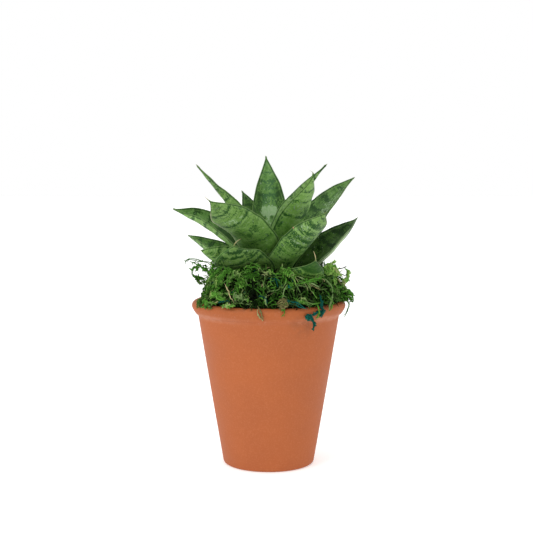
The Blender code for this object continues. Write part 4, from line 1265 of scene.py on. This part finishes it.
# Balls along the lines: which line, how far along it, size, strands and tone
TUFT_BALLS = [
    (0, 0.35, 0.9, 24, 0.25), (0, 0.55, 1.2, 24, 0.30), (0, 0.75, 1.6, 24, 0.42),
    (0, 0.88, 1.5, 24, 0.46), (0, 1.0, 1.0, 24, 0.5), (1, 0.3, 1.1, 22, 0.44),
    (1, 0.7, 1.1, 22, 0.44), (2, 0.3, 1.2, 20, 0.5), (2, 0.55, 1.3, 20, 0.5),
    (2, 0.8, 1.0, 20, 0.5), (2, 1.0, 0.7, 20, 0.5),
]


def make_teal_tuft(blades, pot, material):
    """The dyed tuft over the rim: a round knot with a tail, and an arm to its right."""
    draw = np.random.default_rng(23)
    lines = [smooth_line(line, 24) for line in TUFT_LINES]
    balls = [(lines[line][int(t * 23)], size, count, tone) for line, t, size, count, tone in TUFT_BALLS]
    paths, tones, thick = [], [], []
    for centre, size, count, tone in [TUFT_KNOT, *balls]:
        for _ in range(count):
            start = centre + unit(draw.normal(size=3)) * size * draw.uniform(0.3, 0.85)
            aim = unit(draw.normal(size=3))
            middle = start + aim * size * 0.4 + draw.normal(size=3) * 0.2
            end = middle + unit(aim + draw.normal(size=3) * 0.9) * size * 0.35
            paths.append(smooth_line([start, middle, end], 7))
            thick.append(draw.uniform(0.28, 0.46))
            tones.append(tone + 0.14 * draw.normal() + np.linspace(-0.08, 0.10, 7))
    paths, thick, tones = np.array(paths), np.array(thick), np.array(tones)
    settle(paths, thick, blades, pot)
    radii = knobbly(draw, len(paths), 7, thick)
    cores = np.array([line[::2] + draw.normal(size=(12, 3)) * 0.25 for line in lines for _ in range(3)])
    settle(cores, np.full(len(cores), 0.5), blades, pot)
    core_radii = knobbly(draw, len(cores), 12, np.full(len(cores), 0.55))
    core_tones = np.full((len(cores), 12), 0.36)
    sets = [(paths, radii, tones, 4), (cores, core_radii, core_tones, 5)]
    return strand_piece("moss_teal_tuft", sets, material)


# Floor, light and camera

WHITE = (1.0, 1.0, 1.0)
FLOOR_WHITE = (0.97, 0.97, 0.97)
FLOOR_GLOW = 0.30
FLOOR_HALF = 6.0
FLOOR_HEIGHT = -0.0002
KEY_PLACE = (-0.60, -0.70, 0.80)
KEY_AIM = (0, 0, 0.12)
KEY_SIZE = 0.6
KEY_POWER = 3.4
CAMERA_PLACE = (-0.0015, -0.766, 0.2075)
CAMERA_DOWN = 5.3
CAMERA_LENS = 75.3


def make_floor():
    s = Shader("studio_floor")
    s.set(Base_Color=FLOOR_WHITE, Roughness=0.7, Specular_IOR_Level=0.2,
          Emission_Color=WHITE, Emission_Strength=FLOOR_GLOW)
    corners = FLOOR_HALF * np.array([(-1, -1, 0), (1, -1, 0), (1, 1, 0), (-1, 1, 0)])
    floor = mesh_object("studio_floor", corners, [[[0, 1, 2, 3]]], s.material)
    floor.location.z = FLOOR_HEIGHT


def make_world():
    bpy.context.scene.view_settings.view_transform = "Standard"
    world = bpy.data.worlds.new("studio")
    world.use_nodes = True
    inputs = world.node_tree.nodes["Background"].inputs
    inputs["Color"].default_value = (*WHITE, 1.0)
    inputs["Strength"].default_value = 1.0
    bpy.context.scene.world = world


def make_light():
    data = bpy.data.lights.new("key", "AREA")
    data.shape = "DISK"
    data.size = KEY_SIZE
    data.energy = KEY_POWER
    ob = bpy.data.objects.new("key", data)
    ob.location = KEY_PLACE
    ob.rotation_mode = "QUATERNION"
    ob.rotation_quaternion = (Vector(KEY_AIM) - Vector(KEY_PLACE)).to_track_quat("-Z", "Y")
    bpy.context.scene.collection.objects.link(ob)


def make_camera():
    data = bpy.data.cameras.new("camera")
    data.sensor_width = 36.0
    data.lens = CAMERA_LENS
    data.clip_start = 0.01
    data.clip_end = 50.0
    ob = bpy.data.objects.new("camera", data)
    ob.location = CAMERA_PLACE
    ob.rotation_euler = (math.radians(90 - CAMERA_DOWN), 0.0, 0.0)
    bpy.context.scene.collection.objects.link(ob)
    bpy.context.scene.camera = ob


def build():
    make_camera()
    make_world()
    make_floor()
    make_light()

    pot = make_pot(terracotta_material())
    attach(pot, "root")
    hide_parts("pot")

    for node, material in (("soil", soil_material()), ("rhizome", stem_material())):
        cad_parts[node].data.materials.clear()
        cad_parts[node].data.materials.append(material)

    skin = leaf_material()
    blades = []
    for number, (spec, radius) in enumerate(zip(LEAVES, nest_radii()), start=1):
        node = f"leaf_{number:02d}"
        blade = make_leaf(f"blade_{number:02d}", number, spec, radius, skin)
        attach(blade, "root")
        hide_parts(node)
        blades.append(blade)

    green = moss_material("moss_green", [
        (0.00, (0.002, 0.005, 0.001)), (0.20, (0.008, 0.026, 0.003)), (0.45, (0.036, 0.122, 0.012)),
        (0.75, (0.086, 0.250, 0.030)), (1.00, (0.270, 0.450, 0.100))], faded=0.85)
    sage = moss_material("moss_sage", [
        (0.00, (0.004, 0.008, 0.002)), (0.25, (0.022, 0.045, 0.010)), (0.55, (0.095, 0.175, 0.048)),
        (1.00, (0.290, 0.400, 0.170))])
    dry = moss_material("moss_dry", [
        (0.00, (0.050, 0.045, 0.018)), (0.30, (0.160, 0.150, 0.055)), (0.60, (0.330, 0.330, 0.150)),
        (1.00, (0.560, 0.400, 0.240))])
    teal = moss_material("moss_dyed_teal", [
        (0.00, (0.002, 0.020, 0.016)), (0.40, (0.004, 0.070, 0.052)), (0.75, (0.012, 0.140, 0.100)),
        (1.00, (0.050, 0.240, 0.170))])
    leaves = tree_of(blades)
    clay_tree = tree_of([pot])
    for piece in make_moss(leaves, clay_tree, green, sage, dry, teal):
        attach(piece, "root")
        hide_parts("moss")
    tuft = make_teal_tuft(leaves, clay_tree, teal)
    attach(tuft, "root")
    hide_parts("moss_tuft_teal")


build()
